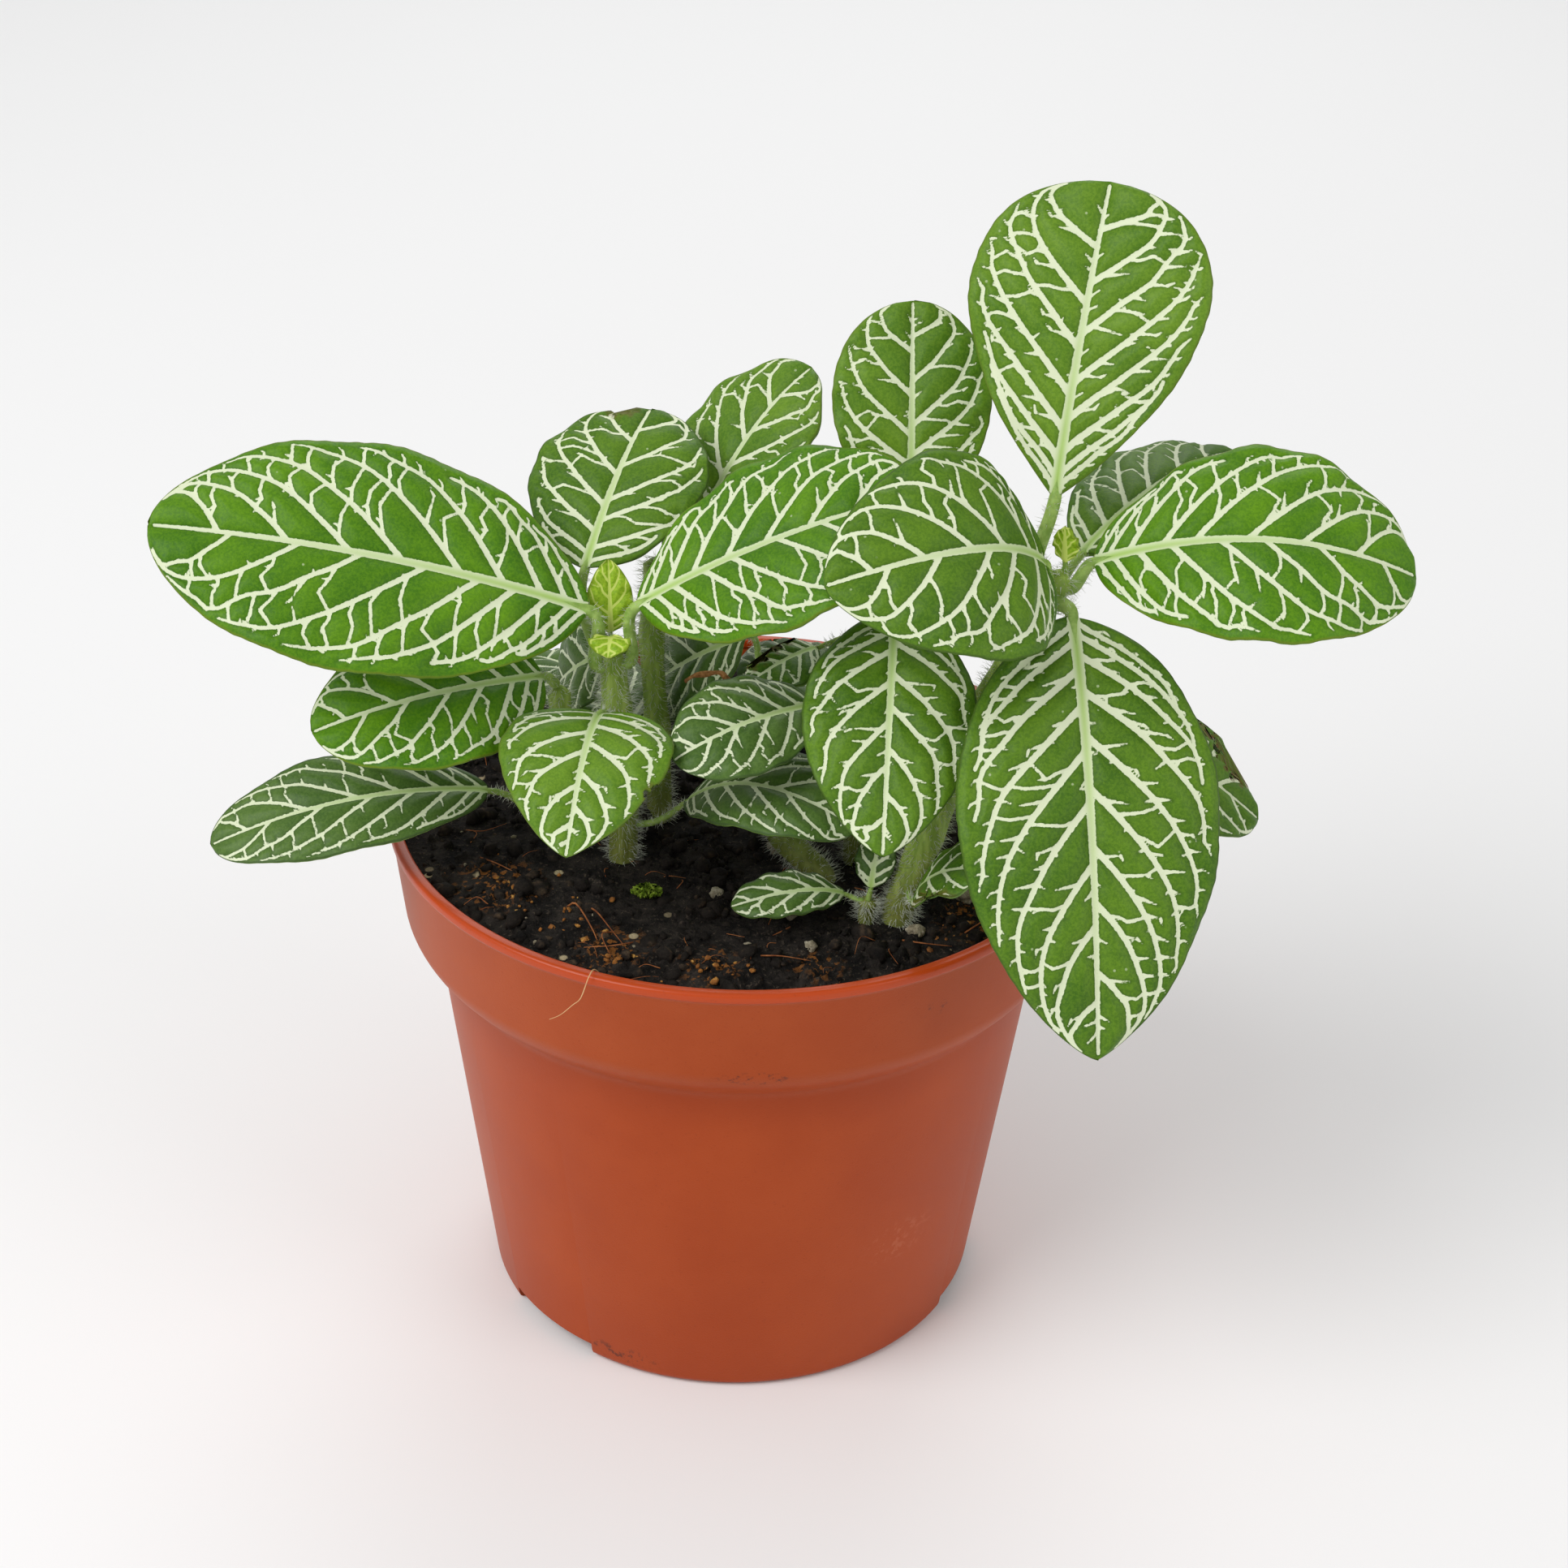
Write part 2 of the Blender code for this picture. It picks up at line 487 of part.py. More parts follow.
for name, leaf in LEAVES.items():
    young = leaf["width"] < 10
    thickness = BUD_THICKNESS if young else LEAF_THICKNESS
    curve, radius = stalk_curve(leaf)
    _, side = blade_frame(leaf)
    rings = []
    for k in range(STALK_STATIONS, -1, -1):
        place, along = bezier(curve, k / (STALK_STATIONS + 1))
        side = square_to(side, along)
        thick = radius * (0.75 + 0.25 * k / STALK_STATIONS)
        rings.insert(0, ring_round(place, along, side, thick, 8))
    first = min(t / 200 for t in range(1, 200) if half_width(leaf, t / 200) > radius * 1.3)
    for k in range(LEAF_STATIONS + 1):
        t = (1 - math.cos(math.pi * k / LEAF_STATIONS)) / 2
        rings.append(blade_ring(leaf, first + (0.992 - first) * t, thickness))
    new_piece(name, rings, fresh if young else green, plant)

# ---------------------------------------------------------------- withered stalk
start, axis, stem_radius = stem_spot(STEMS["middle"], 3, 2)
across = square_to(np.array(DRY_STALK["bend"]), axis)
start = start + across * (stem_radius + GAP)
bend, end = (start + np.array(DRY_STALK[k]) * MM for k in ("bend", "end"))
rings = []
for k in range(9):
    place, along = bezier((start, start + across * 2 * MM, bend, end), k / 8)
    thick = DRY_STALK["radius"] * MM * (1 - 0.04 * k + 0.12 * (k % 2))
    rings.append(ring_round(place, along, UP, thick, 6))
new_piece("dry_stalk", rings, dry, plant)

# ---------------------------------------------------------------- perlite and moss on the mix
for name, (bearing, out, size) in GRAINS.items():
    reach = out * MM
    top = MIX_TOP + MOUND * (1 - (reach / edge)**2)
    half = size * MM / 2
    flat = 0.55 if name.startswith("moss") else 0.8
    lean = half * 2 * MOUND * reach / edge**2
    mesh = bpy.data.meshes.new(name)
    work = bmesh.new()
    bmesh.ops.create_icosphere(work, subdivisions=2, radius=half)
    for vert in work.verts:
        x, y, z = (vert.co / half)[:]
        lumps = 0.12 * math.sin(5 * x + bearing) + 0.1 * math.sin(6 * y + 2 * bearing) * math.cos(4 * z)
        vert.co *= 1 + lumps
        vert.co.z *= flat
    lowest = min(vert.co.z for vert in work.verts)
    work.to_mesh(mesh)
    work.free()
    mesh.shade_smooth()
    mesh.materials.append(moss if name.startswith("moss") else perlite)
    turn = math.radians(bearing)
    grain = bpy.data.objects.new(name, mesh)
    grain.location = (reach * math.cos(turn), reach * math.sin(turn), top - lowest + lean + GAP)
    plant.objects.link(grain)

# ---------------------------------------------------------------- place
for piece in (*plant.objects, *cutters.objects):
    piece.location += Vector((*POT_AXIS, 0))
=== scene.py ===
import math

import bmesh
import bpy
import numpy as np
from mathutils import Matrix, Vector, noise


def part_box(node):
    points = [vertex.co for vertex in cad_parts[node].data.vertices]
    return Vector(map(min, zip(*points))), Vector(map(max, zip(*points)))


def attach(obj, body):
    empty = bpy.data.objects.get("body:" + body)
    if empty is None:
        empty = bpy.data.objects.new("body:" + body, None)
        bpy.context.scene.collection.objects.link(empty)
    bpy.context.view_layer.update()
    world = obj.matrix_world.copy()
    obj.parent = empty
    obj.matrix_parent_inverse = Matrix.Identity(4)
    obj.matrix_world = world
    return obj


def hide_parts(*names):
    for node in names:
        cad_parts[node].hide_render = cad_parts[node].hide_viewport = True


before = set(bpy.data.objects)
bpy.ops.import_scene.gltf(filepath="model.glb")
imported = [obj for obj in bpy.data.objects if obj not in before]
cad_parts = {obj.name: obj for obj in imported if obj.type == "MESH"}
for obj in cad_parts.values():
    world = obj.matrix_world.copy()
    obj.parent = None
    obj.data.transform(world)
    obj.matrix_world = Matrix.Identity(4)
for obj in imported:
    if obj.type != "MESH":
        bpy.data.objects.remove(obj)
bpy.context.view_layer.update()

MM = 0.001

# The pot's axis meets the floor here. Everything below is placed from it.
pot_low, pot_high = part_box("pot")
POT_AXIS = Vector(((pot_low.x + pot_high.x) / 2, (pot_low.y + pot_high.y) / 2, 0))

# ------------------------------------------------------------------ camera, floor and light
# A pale sheet of paper under the pot, seen from above the front. The light is a white studio
# tent: even from all round, with one large soft panel high on the left and a weak one at right.
CAMERA_PLACE = Vector((0.00652, -0.37985, 0.30913))
CAMERA_PITCH = 59.5
CAMERA_ROLL = 1.67

view = bpy.data.cameras.new("camera")
view.lens = 67.1
view.sensor_width = 36
camera = bpy.data.objects.new("camera", view)
camera.matrix_world = (Matrix.Translation(POT_AXIS + CAMERA_PLACE)
                       @ Matrix.Rotation(math.radians(CAMERA_PITCH), 4, "X")
                       @ Matrix.Rotation(math.radians(CAMERA_ROLL), 4, "Z"))
bpy.context.scene.collection.objects.link(camera)
bpy.context.scene.camera = camera
bpy.context.scene.view_settings.view_transform = "Standard"


class Wire:
    """A shader socket. Sums on it add Math nodes, and node() adds any other node."""

    def __init__(self, tree, socket=None):
        self.tree, self.socket = tree, socket

    def node(self, kind, settings=None, sockets=None, out=0):
        made = self.tree.nodes.new("ShaderNode" + kind)
        for name, value in (settings or {}).items():
            if name == "stops":
                while len(made.color_ramp.elements) < len(value):
                    made.color_ramp.elements.new(0.5)
                for stop, (place, colour) in zip(made.color_ramp.elements, value):
                    stop.position, stop.color = place, (*colour, 1)
            else:
                setattr(made, name, value)
        for name, value in (sockets or {}).items():
            if isinstance(value, Wire):
                self.tree.links.new(value.socket, made.inputs[name])
            else:
                made.inputs[name].default_value = value
        return Wire(self.tree, made.outputs[out])

    def maths(self, operation, *values):
        return self.node("Math", {"operation": operation}, dict(enumerate(values)))

    def vector(self, operation, other=(0, 0, 0), out=0):
        return self.node("VectorMath", {"operation": operation}, {0: self, 1: other}, out=out)

    def __add__(self, other):
        return self.maths("ADD", self, other)

    def __sub__(self, other):
        return self.maths("SUBTRACT", self, other)

    def __mul__(self, other):
        return self.maths("MULTIPLY", self, other)

    def __rsub__(self, other):
        return self.maths("SUBTRACT", other, self)

    def step(self, low, high):
        """0 below low and 1 above high, or the other way round, with a smooth change between."""
        rising = low < high
        ends = {1: min(low, high), 2: max(low, high), 3: 0 if rising else 1, 4: 1 if rising else 0}
        return self.node("MapRange", {"interpolation_type": "SMOOTHSTEP"}, {0: self, **ends})

    def mix(self, low, high):
        """The colour low where this is 0 and high where it is 1."""
        low, high = (c if isinstance(c, Wire) else (*c, 1) for c in (low, high))
        return self.node("Mix", {"data_type": "RGBA"}, {0: self, 6: low, 7: high}, out=2)

    def noise(self, scale, detail=2, rough=0.5):
        """Soft noise at a place, with this many swings to the metre."""
        return self.node("TexNoise", {}, {"Vector": self, "Scale": scale, "Detail": detail,
                                          "Roughness": rough})

    def dots(self, scale, size, chosen):
        """1 near the middles of some of the cells round a place, and 0 elsewhere."""
        near, tint = (self.node("TexVoronoi", {"feature": "F1"}, {"Vector": self, "Scale": scale},
                                out=out) for out in (0, 1))
        return near.step(*size) * tint.node("SeparateColor", {}, {0: tint}).step(*chosen)

    def height(self):
        return self.node("SeparateXYZ", {}, {0: self}, out=2)

    def attribute(self, name):
        return self.node("Attribute", {"attribute_name": name}, out=2)


def new_finish(name, shine, **constants):
    """A material, and the place on it as the wire that its nodes grow from."""
    made = bpy.data.materials.new(name)
    made.use_nodes = True
    surface = made.node_tree.nodes["Principled BSDF"]
    surface.inputs["Specular IOR Level"].default_value = shine
    for socket, value in constants.items():
        surface.inputs[socket.replace("_", " ")].default_value = value
    return made, Wire(made.node_tree).node("TexCoord", out=3)


def finish(material, colour=None, roughness=None, bump=None, depth=0.0, strength=1.0, coat=None):
    """Joins what varies over a surface to its shader. depth is the bump's height in metres."""
    tree = material.node_tree
    surface = tree.nodes["Principled BSDF"]
    for name, wire in (("Base Color", colour), ("Roughness", roughness), ("Coat Weight", coat)):
        if wire is not None:
            tree.links.new(wire.socket, surface.inputs[name])
    if bump is not None:
        raised = bump.node("Bump", {}, {"Strength": strength, "Distance": depth, "Height": bump})
        tree.links.new(raised.socket, surface.inputs["Normal"])
    return material


def srgb(red, green, blue):
    """A colour on a screen's scale of 0 to 255, as light."""
    return tuple(((c / 255 + 0.055) / 1.055) ** 2.4 if c > 10 else c / 255 / 12.92
                 for c in (red, green, blue))


def new_object(name, mesh):
    made = bpy.data.objects.new(name, mesh)
    bpy.context.scene.collection.objects.link(made)
    return made


def new_mesh(name, work, smooth=True):
    mesh = bpy.data.meshes.new(name)
    work.to_mesh(mesh)
    work.free()
    if smooth:
        mesh.shade_smooth()
    return mesh


work = bmesh.new()
bmesh.ops.create_grid(work, x_segments=1, y_segments=1, size=2.5,
                      matrix=Matrix.Translation(POT_AXIS + Vector((0, 1.0, -0.0001))))
floor = new_object("floor", new_mesh("floor", work, smooth=False))
paper, where = new_finish("paper", 0.5, Roughness=0.9)
spots = where.noise(3, 3)
finish(paper, spots.mix((0.88, 0.88, 0.88), (0.90, 0.90, 0.90)))
floor.data.materials.append(paper)

world = bpy.data.worlds.new("tent")
world.use_nodes = True
world.node_tree.nodes["Background"].inputs["Color"].default_value = (1, 1, 1, 1)
world.node_tree.nodes["Background"].inputs["Strength"].default_value = 0.5
bpy.context.scene.world = world


def soft_panel(name, place, size, power):
    light = bpy.data.lights.new(name, "AREA")
    light.shape, light.size, light.energy = "DISK", size, power
    made = bpy.data.objects.new(name, light)
    made.location = place
    aim = POT_AXIS + Vector((0, 0, 0.09)) - made.location
    made.rotation_euler = aim.to_track_quat("-Z", "Y").to_euler()
    bpy.context.scene.collection.objects.link(made)


soft_panel("panel_left", Vector((-0.75, -0.55, 0.95)), 0.9, 10)
soft_panel("panel_right", Vector((0.9, -0.5, 0.6)), 0.7, 2.5)
soft_panel("panel_back", Vector((0.1, 0.9, 0.8)), 0.8, 3)

# ------------------------------------------------------------------ pot
# A thin injection-moulded polypropylene nursery pot: a wide collar over a tapered body, a
# rolled rim with a small bead, a foot ring to stand on and three drainage slots at the foot.
POT_STEPS = 144
POT_PROFILE = [  # radius and height in mm, from under the floor out, up to the rim and back inside
    (0, 1.0), (35.0, 1.0), (35.5, 0), (38.5, 0), (46.2, 61.5), (50.8, 66), (52.55, 81.3),
    (53.0, 81.7), (53.0, 83), (51.1, 83), (51.1, 81.4), (51.4, 81.1), (49.7, 66.5), (45.0, 62.0),
    (37.5, 2.2), (0, 2.2),
]
POT_BEVELS = [  # corner, how far its rounding reaches, segments
    ((38.5, 0), 1.3, 3), ((46.2, 61.5), 1.4, 4), ((50.8, 66), 2.2, 6), ((52.55, 81.3), 0.25, 2),
    ((53.0, 81.7), 0.15, 2), ((53.0, 83), 0.55, 4), ((51.1, 83), 0.55, 4), ((51.1, 81.4), 0.2, 2),
    ((49.7, 66.5), 0.8, 2), ((45.0, 62.0), 0.8, 2), ((37.5, 2.2), 1.2, 3),
]
SLOT_BEARINGS = (-136, -16, 104)
SLOT_DEPTH, SLOT_WIDTH, SLOT_HEIGHT, FOOT_RADIUS = 9, 18, 2.6, 38.5
SAME = 0.00001  # points closer than this are one

work = bmesh.new()
chain = [work.verts.new((r * MM, 0, z * MM)) for r, z in POT_PROFILE]
for a, b in zip(chain, chain[1:]):
    work.edges.new((a, b))
bmesh.ops.spin(work, geom=work.verts[:] + work.edges[:], cent=(0, 0, 0), axis=(0, 0, 1),
               angle=2 * math.pi, steps=POT_STEPS, use_merge=True)
bmesh.ops.remove_doubles(work, verts=work.verts, dist=SAME)
for (r, z), reach, segments in POT_BEVELS:
    ring = [e for e in work.edges if all(
        abs(v.co.xy.length - r * MM) < SAME and abs(v.co.z - z * MM) < SAME for v in e.verts)]
    bmesh.ops.bevel(work, geom=ring, offset=reach * MM, offset_type="OFFSET", affect="EDGES",
                    segments=segments, profile=0.5, material=-1)
bmesh.ops.recalc_face_normals(work, faces=work.faces)
bmesh.ops.translate(work, verts=work.verts, vec=POT_AXIS)
pot = new_object("plastic_pot", new_mesh("plastic_pot", work))

work = bmesh.new()
for bearing in SLOT_BEARINGS:
    bmesh.ops.create_cube(work, size=1, matrix=Matrix.Translation(POT_AXIS)
                          @ Matrix.Rotation(math.radians(bearing), 4, "Z")
                          @ Matrix.Translation((FOOT_RADIUS * MM, 0, 0))
                          @ Matrix.Diagonal((SLOT_DEPTH * MM, SLOT_WIDTH * MM, 2 * SLOT_HEIGHT * MM, 1)))
slots = new_object("slots", new_mesh("slots", work, smooth=False))
boolean = pot.modifiers.new("slots", "BOOLEAN")
boolean.operation, boolean.solver, boolean.object = "DIFFERENCE", "EXACT", slots
graph = bpy.context.evaluated_depsgraph_get()
cut_pot = bpy.data.meshes.new_from_object(pot.evaluated_get(graph))
pot.modifiers.remove(boolean)
pot.data = cut_pot
bpy.data.objects.remove(slots)
pot.data.set_sharp_from_angle(angle=math.radians(40))

plastic, where = new_finish("terracotta_plastic", 0.14, Coat_Roughness=0.2)
parts = where.vector("SUBTRACT", POT_AXIS)
height = parts.height()
clouds = where.noise(38, 4, 0.6)
specks = where.noise(2600, 2, 0.6)
cloudy = clouds.step(0.3, 0.7)
colour = cloudy.mix(srgb(163, 65, 22), srgb(171, 72, 28))
collar = cloudy.mix(srgb(162, 68, 27), srgb(170, 76, 34))
colour = height.step(0.0650, 0.0662).mix(colour, collar)
colour = height.step(0.0812, 0.0817).mix(colour, srgb(182, 66, 16))
# painted shade: a darker band on the body just under the collar's step, where shade falls
shade_under_collar = height.step(0.052, 0.0605) * height.step(0.0632, 0.0615)
colour = (shade_under_collar * 0.35).mix(colour, srgb(144, 54, 20))
colour = (specks.step(0.62, 0.72) * 0.35).mix(colour, srgb(140, 54, 20))
# scuffs where pots have rubbed together
for spot, size, tint, share in (
        ((4, -51, 67.5), (7, 3, 1.6), srgb(84, 44, 34), 0.8),
        ((29, -43.5, 75), (3, 3, 2.0), srgb(110, 56, 40), 0.6),
        ((27, -33, 25), (9, 9, 5.5), srgb(196, 112, 78), 0.3),
        ((-18, -38, 3), (10, 9, 2.6), srgb(70, 38, 30), 0.7),
        ((-14, -40, 40), (1.0, 1.0, 1.0), srgb(120, 54, 36), 0.7)):
    away = parts.vector("SUBTRACT", Vector(spot) * MM).vector("DIVIDE", Vector(size) * MM)
    away = away.vector("LENGTH", out=1)
    marks = where.noise(900, 3, 0.7).step(0.52, 0.62) * away.step(1.0, 0.4)
    colour = (marks * share).mix(colour, tint)
grain = where.noise(4200, 2, 0.6)
finish(plastic, colour, clouds * 0.12 + 0.36, grain + clouds * 2, depth=0.00006, strength=0.5,
       coat=height.step(0.0808, 0.0815) * 0.35)
pot.data.materials.clear()
pot.data.materials.append(plastic)
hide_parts("pot")
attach(pot, "root")

# ------------------------------------------------------------------ potting mix
# Moist dark peat with bark crumbs, filled to just under the rim and a little higher in the
# middle. The solid fills the pot and shows at the slots; a crumbly skin covers its top.
MIX_TOP = 78.8 * MM
MOUND = 1.6 * MM
MIX_RADIUS = 50.9 * MM
MOUND_RADIUS = 51 * MM
MIX_CELLS = 210


def mix_height(x, y):
    """Height of the smooth mix surface at a place measured from the pot's axis."""
    return MIX_TOP + MOUND * (1 - (x * x + y * y) / MOUND_RADIUS**2)


def clod(x, y):
    """How far the crumbly surface stands off the smooth one, in metres."""
    place = Vector((x, y, 0)) / MM
    broad = noise.fractal(place * 0.11, 1.0, 2.0, 3)
    near, far = noise.voronoi(place * 0.42)[0][:2]
    lumps = min(far - near, 0.6)
    near, far = noise.voronoi(place * 1.1 + Vector((7, 3, 1)))[0][:2]
    crumbs = min(far - near, 0.6)
    return (1.0 * broad + 2.1 * lumps + 1.2 * crumbs - 0.8 + 0.4 * noise.noise(place * 2.3)) * MM


work = bmesh.new()
bmesh.ops.create_grid(work, x_segments=MIX_CELLS, y_segments=MIX_CELLS, size=MIX_RADIUS)
outside = [v for v in work.verts if v.co.xy.length > MIX_RADIUS]
bmesh.ops.delete(work, geom=outside, context="VERTS")
for vert in work.verts:
    x, y = vert.co.xy
    out = math.hypot(x, y) / MIX_RADIUS
    settle = max(0, (out - 0.93) / 0.07)
    vert.co.z = mix_height(x, y) + clod(x, y) * (1 - 0.4 * settle) - 0.6 * MM * settle
bmesh.ops.translate(work, verts=work.verts, vec=POT_AXIS)
skin = new_object("potting_mix_top", new_mesh("potting_mix_top", work))

peat, where = new_finish("potting_mix", 0.12)
parts = where.vector("SUBTRACT", POT_AXIS)
broad = where.noise(260, 4, 0.65)
fine = where.noise(1500, 3, 0.7)
colour = broad.step(0.35, 0.7).mix(srgb(17, 15, 14), srgb(50, 45, 41))
# painted highlight: a pale grey-brown where the fine noise, which also raises the bump, is high; near
# black where that noise is low
colour = (fine.step(0.56, 0.7) * 0.7).mix(colour, srgb(86, 76, 66))
colour = fine.step(0.42, 0.3).mix(colour, srgb(6, 5, 5))
rust = where.noise(900, 2, 0.6)
for spot, size in (((-35, -21), 9), ((-17, -37), 7), ((-3, -41), 6), ((35, -26), 8),
                   ((12, -40), 5)):
    away = parts.vector("DISTANCE", Vector((*spot, 79)) * MM, out=1)
    patch = away.step(size * MM, size * 0.3 * MM) * rust.step(0.54, 0.62)
    colour = (patch * 0.7).mix(colour, srgb(146, 92, 42))
colour = where.dots(420, (0.34, 0.22), (0.93, 0.95)).mix(colour, srgb(176, 160, 128))
finish(peat, colour, fine * 0.3 + 0.7, fine + broad, depth=0.0006, strength=0.8)
skin.data.materials.append(peat)
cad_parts["potting_mix"].data.materials.clear()
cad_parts["potting_mix"].data.materials.append(peat)
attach(skin, "root")

# ------------------------------------------------------------------ crumbs of peat and bark
# Loose crumbs lie all over the mix, mostly dark peat and brown bark. A few rust-coloured
# mineral flakes lie in patches.


def crumb_height(x, y):
    """Height of the crumbly surface at a place measured from the pot's axis."""
    return mix_height(x, y) + clod(x, y)


def read_places(mesh):
    places = np.empty(len(mesh.vertices) * 3, np.float32)
    mesh.vertices.foreach_get("co", places)
    return places.reshape(-1, 3).astype(float)


def write_places(mesh, places):
    mesh.vertices.foreach_set("co", places.astype(np.float32).ravel())
    mesh.update()


def held_in(x, y, limit):
    """The place, or the nearest one within this distance of the pot's axis."""
    out = math.hypot(x, y)
    return (x, y) if out <= limit else np.array((x, y)) * limit / out


def copies(name, work, count):
    """A mesh of `count` copies of what a bmesh holds, and the places of each copy's corners."""
    size = len(work.verts)
    while len(work.verts) < count * size:
        work.verts.ensure_lookup_table()
        chosen = work.verts[:min(count * size - len(work.verts), len(work.verts))]
        inside = set(chosen)
        edges = [e for e in work.edges if e.verts[0] in inside]
        faces = [f for f in work.faces if f.verts[0] in inside]
        bmesh.ops.duplicate(work, geom=chosen + edges + faces)
    mesh = new_mesh(name, work)
    return mesh, read_places(mesh).reshape(count, size, 3)


def scatter(name, count, sizes, flat, material, seed, spread=None, sink=0.35):
    """Lumps of the given sizes in mm, strewn over the mix or over the given patches."""
    rng = np.random.default_rng(seed)
    work = bmesh.new()
    bmesh.ops.create_icosphere(work, subdivisions=1, radius=0.5)
    mesh, places = copies(name, work, count)
    places *= 1 + rng.uniform(-0.28, 0.28, (*places.shape[:2], 1))
    stretch = rng.uniform(0.6, 1.3, (count, 1, 3)) * (1, 1, flat)
    places *= stretch * (sizes[0] + (sizes[1] - sizes[0]) * rng.random((count, 1, 1)) ** 3) * MM
    turns = rng.uniform(0, 2 * math.pi, count)
    tilts = rng.uniform(-0.6, 0.6, count)
    for k in range(count):
        turn = Matrix.Rotation(turns[k], 3, "Z") @ Matrix.Rotation(tilts[k], 3, "X")
        places[k] = places[k] @ np.array(turn).T
        if spread:
            x, y, reach = spread[rng.integers(len(spread))]
            x, y = rng.normal((x, y), reach / 2.2) * MM
        else:
            bearing, out = rng.uniform(0, 2 * math.pi), 49 * MM * math.sqrt(rng.random())
            x, y = out * math.cos(bearing), out * math.sin(bearing)
        x, y = held_in(x, y, 49.5 * MM)
        lift = crumb_height(x, y) + np.ptp(places[k][:, 2]) * (0.5 - sink)
        places[k] += np.array((x, y, lift)) + POT_AXIS
    write_places(mesh, places.reshape(-1, 3))
    mesh.materials.append(material)
    made = new_object(name, mesh)
    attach(made, "root")
    return made


def crumbly(name, shine, texture, stops, rough, grit, depth, strength=0.8):
    """A material whose colours run over a noise from stop to stop, with a finer noise as bump."""
    made, where = new_finish(name, shine)
    tint = where.noise(*texture)
    stops = [(place, srgb(*colour)) for place, colour in stops]
    return finish(made, where.node("ValToRGB", {"stops": stops}, {0: tint}),
                  tint * rough[0] + rough[1], where.noise(*grit), depth, strength)


bark = crumbly("bark_crumb", 0.12, (330, 3, 0.7),
               [(0.3, (14, 12, 11)), (0.55, (40, 35, 31)), (0.74, (88, 72, 56))],
               (0.2, 0.75), (2200, 3, 0.7), 0.0003)
rusty = crumbly("vermiculite_flake", 0.3, (700, 3, 0.7),
                [(0.3, (92, 56, 26)), (0.52, (156, 98, 38)), (0.7, (214, 168, 88))],
                (0.3, 0.6), (3000, 3, 0.7), 0.0003)
scatter("peat_crumbs", 1300, (0.7, 3.6), 0.8, bark, seed=3)
scatter("vermiculite_flakes", 170, (0.5, 1.5), 0.6, rusty, seed=4, sink=0.2,
        spread=[(-35, -21, 9), (-30, -25, 7), (-17, -37, 6), (-3, -41.5, 5), (35, -26, 6),
                (31, -31, 6), (-22, -31, 8)])

# ------------------------------------------------------------------ perlite and moss
# Expanded white mineral grains lie on the peat, eight of them big and the rest dust, and one
# tuft of bright green moss grows there.
perlite = crumbly("perlite_white", 0.3, (600, 4, 0.7),
                  [(0.3, (84, 70, 54)), (0.5, (154, 144, 120)), (0.75, (206, 198, 176))],
                  (0.2, 0.75), (2600, 3, 0.7), 0.0005, strength=1.0)
moss = crumbly("moss_green", 0.2, (900, 3, 0.7),
               [(0.3, (78, 104, 22)), (0.5, (136, 166, 44)), (0.72, (184, 206, 86))],
               (0.2, 0.75), (3200, 2, 0.7), 0.0004, strength=1.0)
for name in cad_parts:
    if name.startswith("perlite"):
        low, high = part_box(name)
        work = bmesh.new()
        bmesh.ops.create_icosphere(work, subdivisions=4, radius=0.5)
        for vert in work.verts:
            spot = vert.co.copy()
            dents = noise.fractal(spot * 2.2 + low * 900, 1.0, 2.0, 4)
            vert.co *= 1 + 0.3 * dents
            vert.co = Vector(vert.co[k] * (high[k] - low[k]) for k in range(3)) + (low + high) / 2
            vert.co.z -= 0.7 * MM
        grain = new_object("grain_" + name, new_mesh("grain_" + name, work))
        grain.data.materials.append(perlite)
        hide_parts(name)
        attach(grain, "root")
scatter("perlite_dust", 60, (0.5, 1.4), 0.9, perlite, seed=8, sink=0.3)

MOSS_SPRIGS = 260
rng = np.random.default_rng(11)
low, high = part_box("moss_tuft")
middle = (low + high) / 2
work = bmesh.new()
bmesh.ops.create_cone(work, cap_ends=True, segments=3, radius1=0.16, radius2=0.02, depth=1.0,
                      matrix=Matrix.Translation((0, 0, 0.5)))
mesh, places = copies("moss_sprigs", work, MOSS_SPRIGS)
for k in range(MOSS_SPRIGS):
    lean = Vector((rng.normal(0, 0.5), rng.normal(0, 0.5), 1)).normalized()
    turn = np.array(lean.to_track_quat("Z", "Y").to_matrix())
    out, bearing = 2.3 * math.sqrt(rng.random()), rng.uniform(0, 2 * math.pi)
    spot = np.array((out * math.cos(bearing), out * math.sin(bearing) * 0.7, 0)) * MM
    long = rng.uniform(0.7, 1.6) * (1.2 - out / 3)
    places[k] = (places[k] * (1, 1, long)) @ turn.T * MM + spot + middle - (0, 0, 1.3 * MM)
write_places(mesh, places.reshape(-1, 3))
mesh.materials.append(moss)
sprigs = new_object("moss_sprigs", mesh)
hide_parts("moss_tuft")
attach(sprigs, "root")

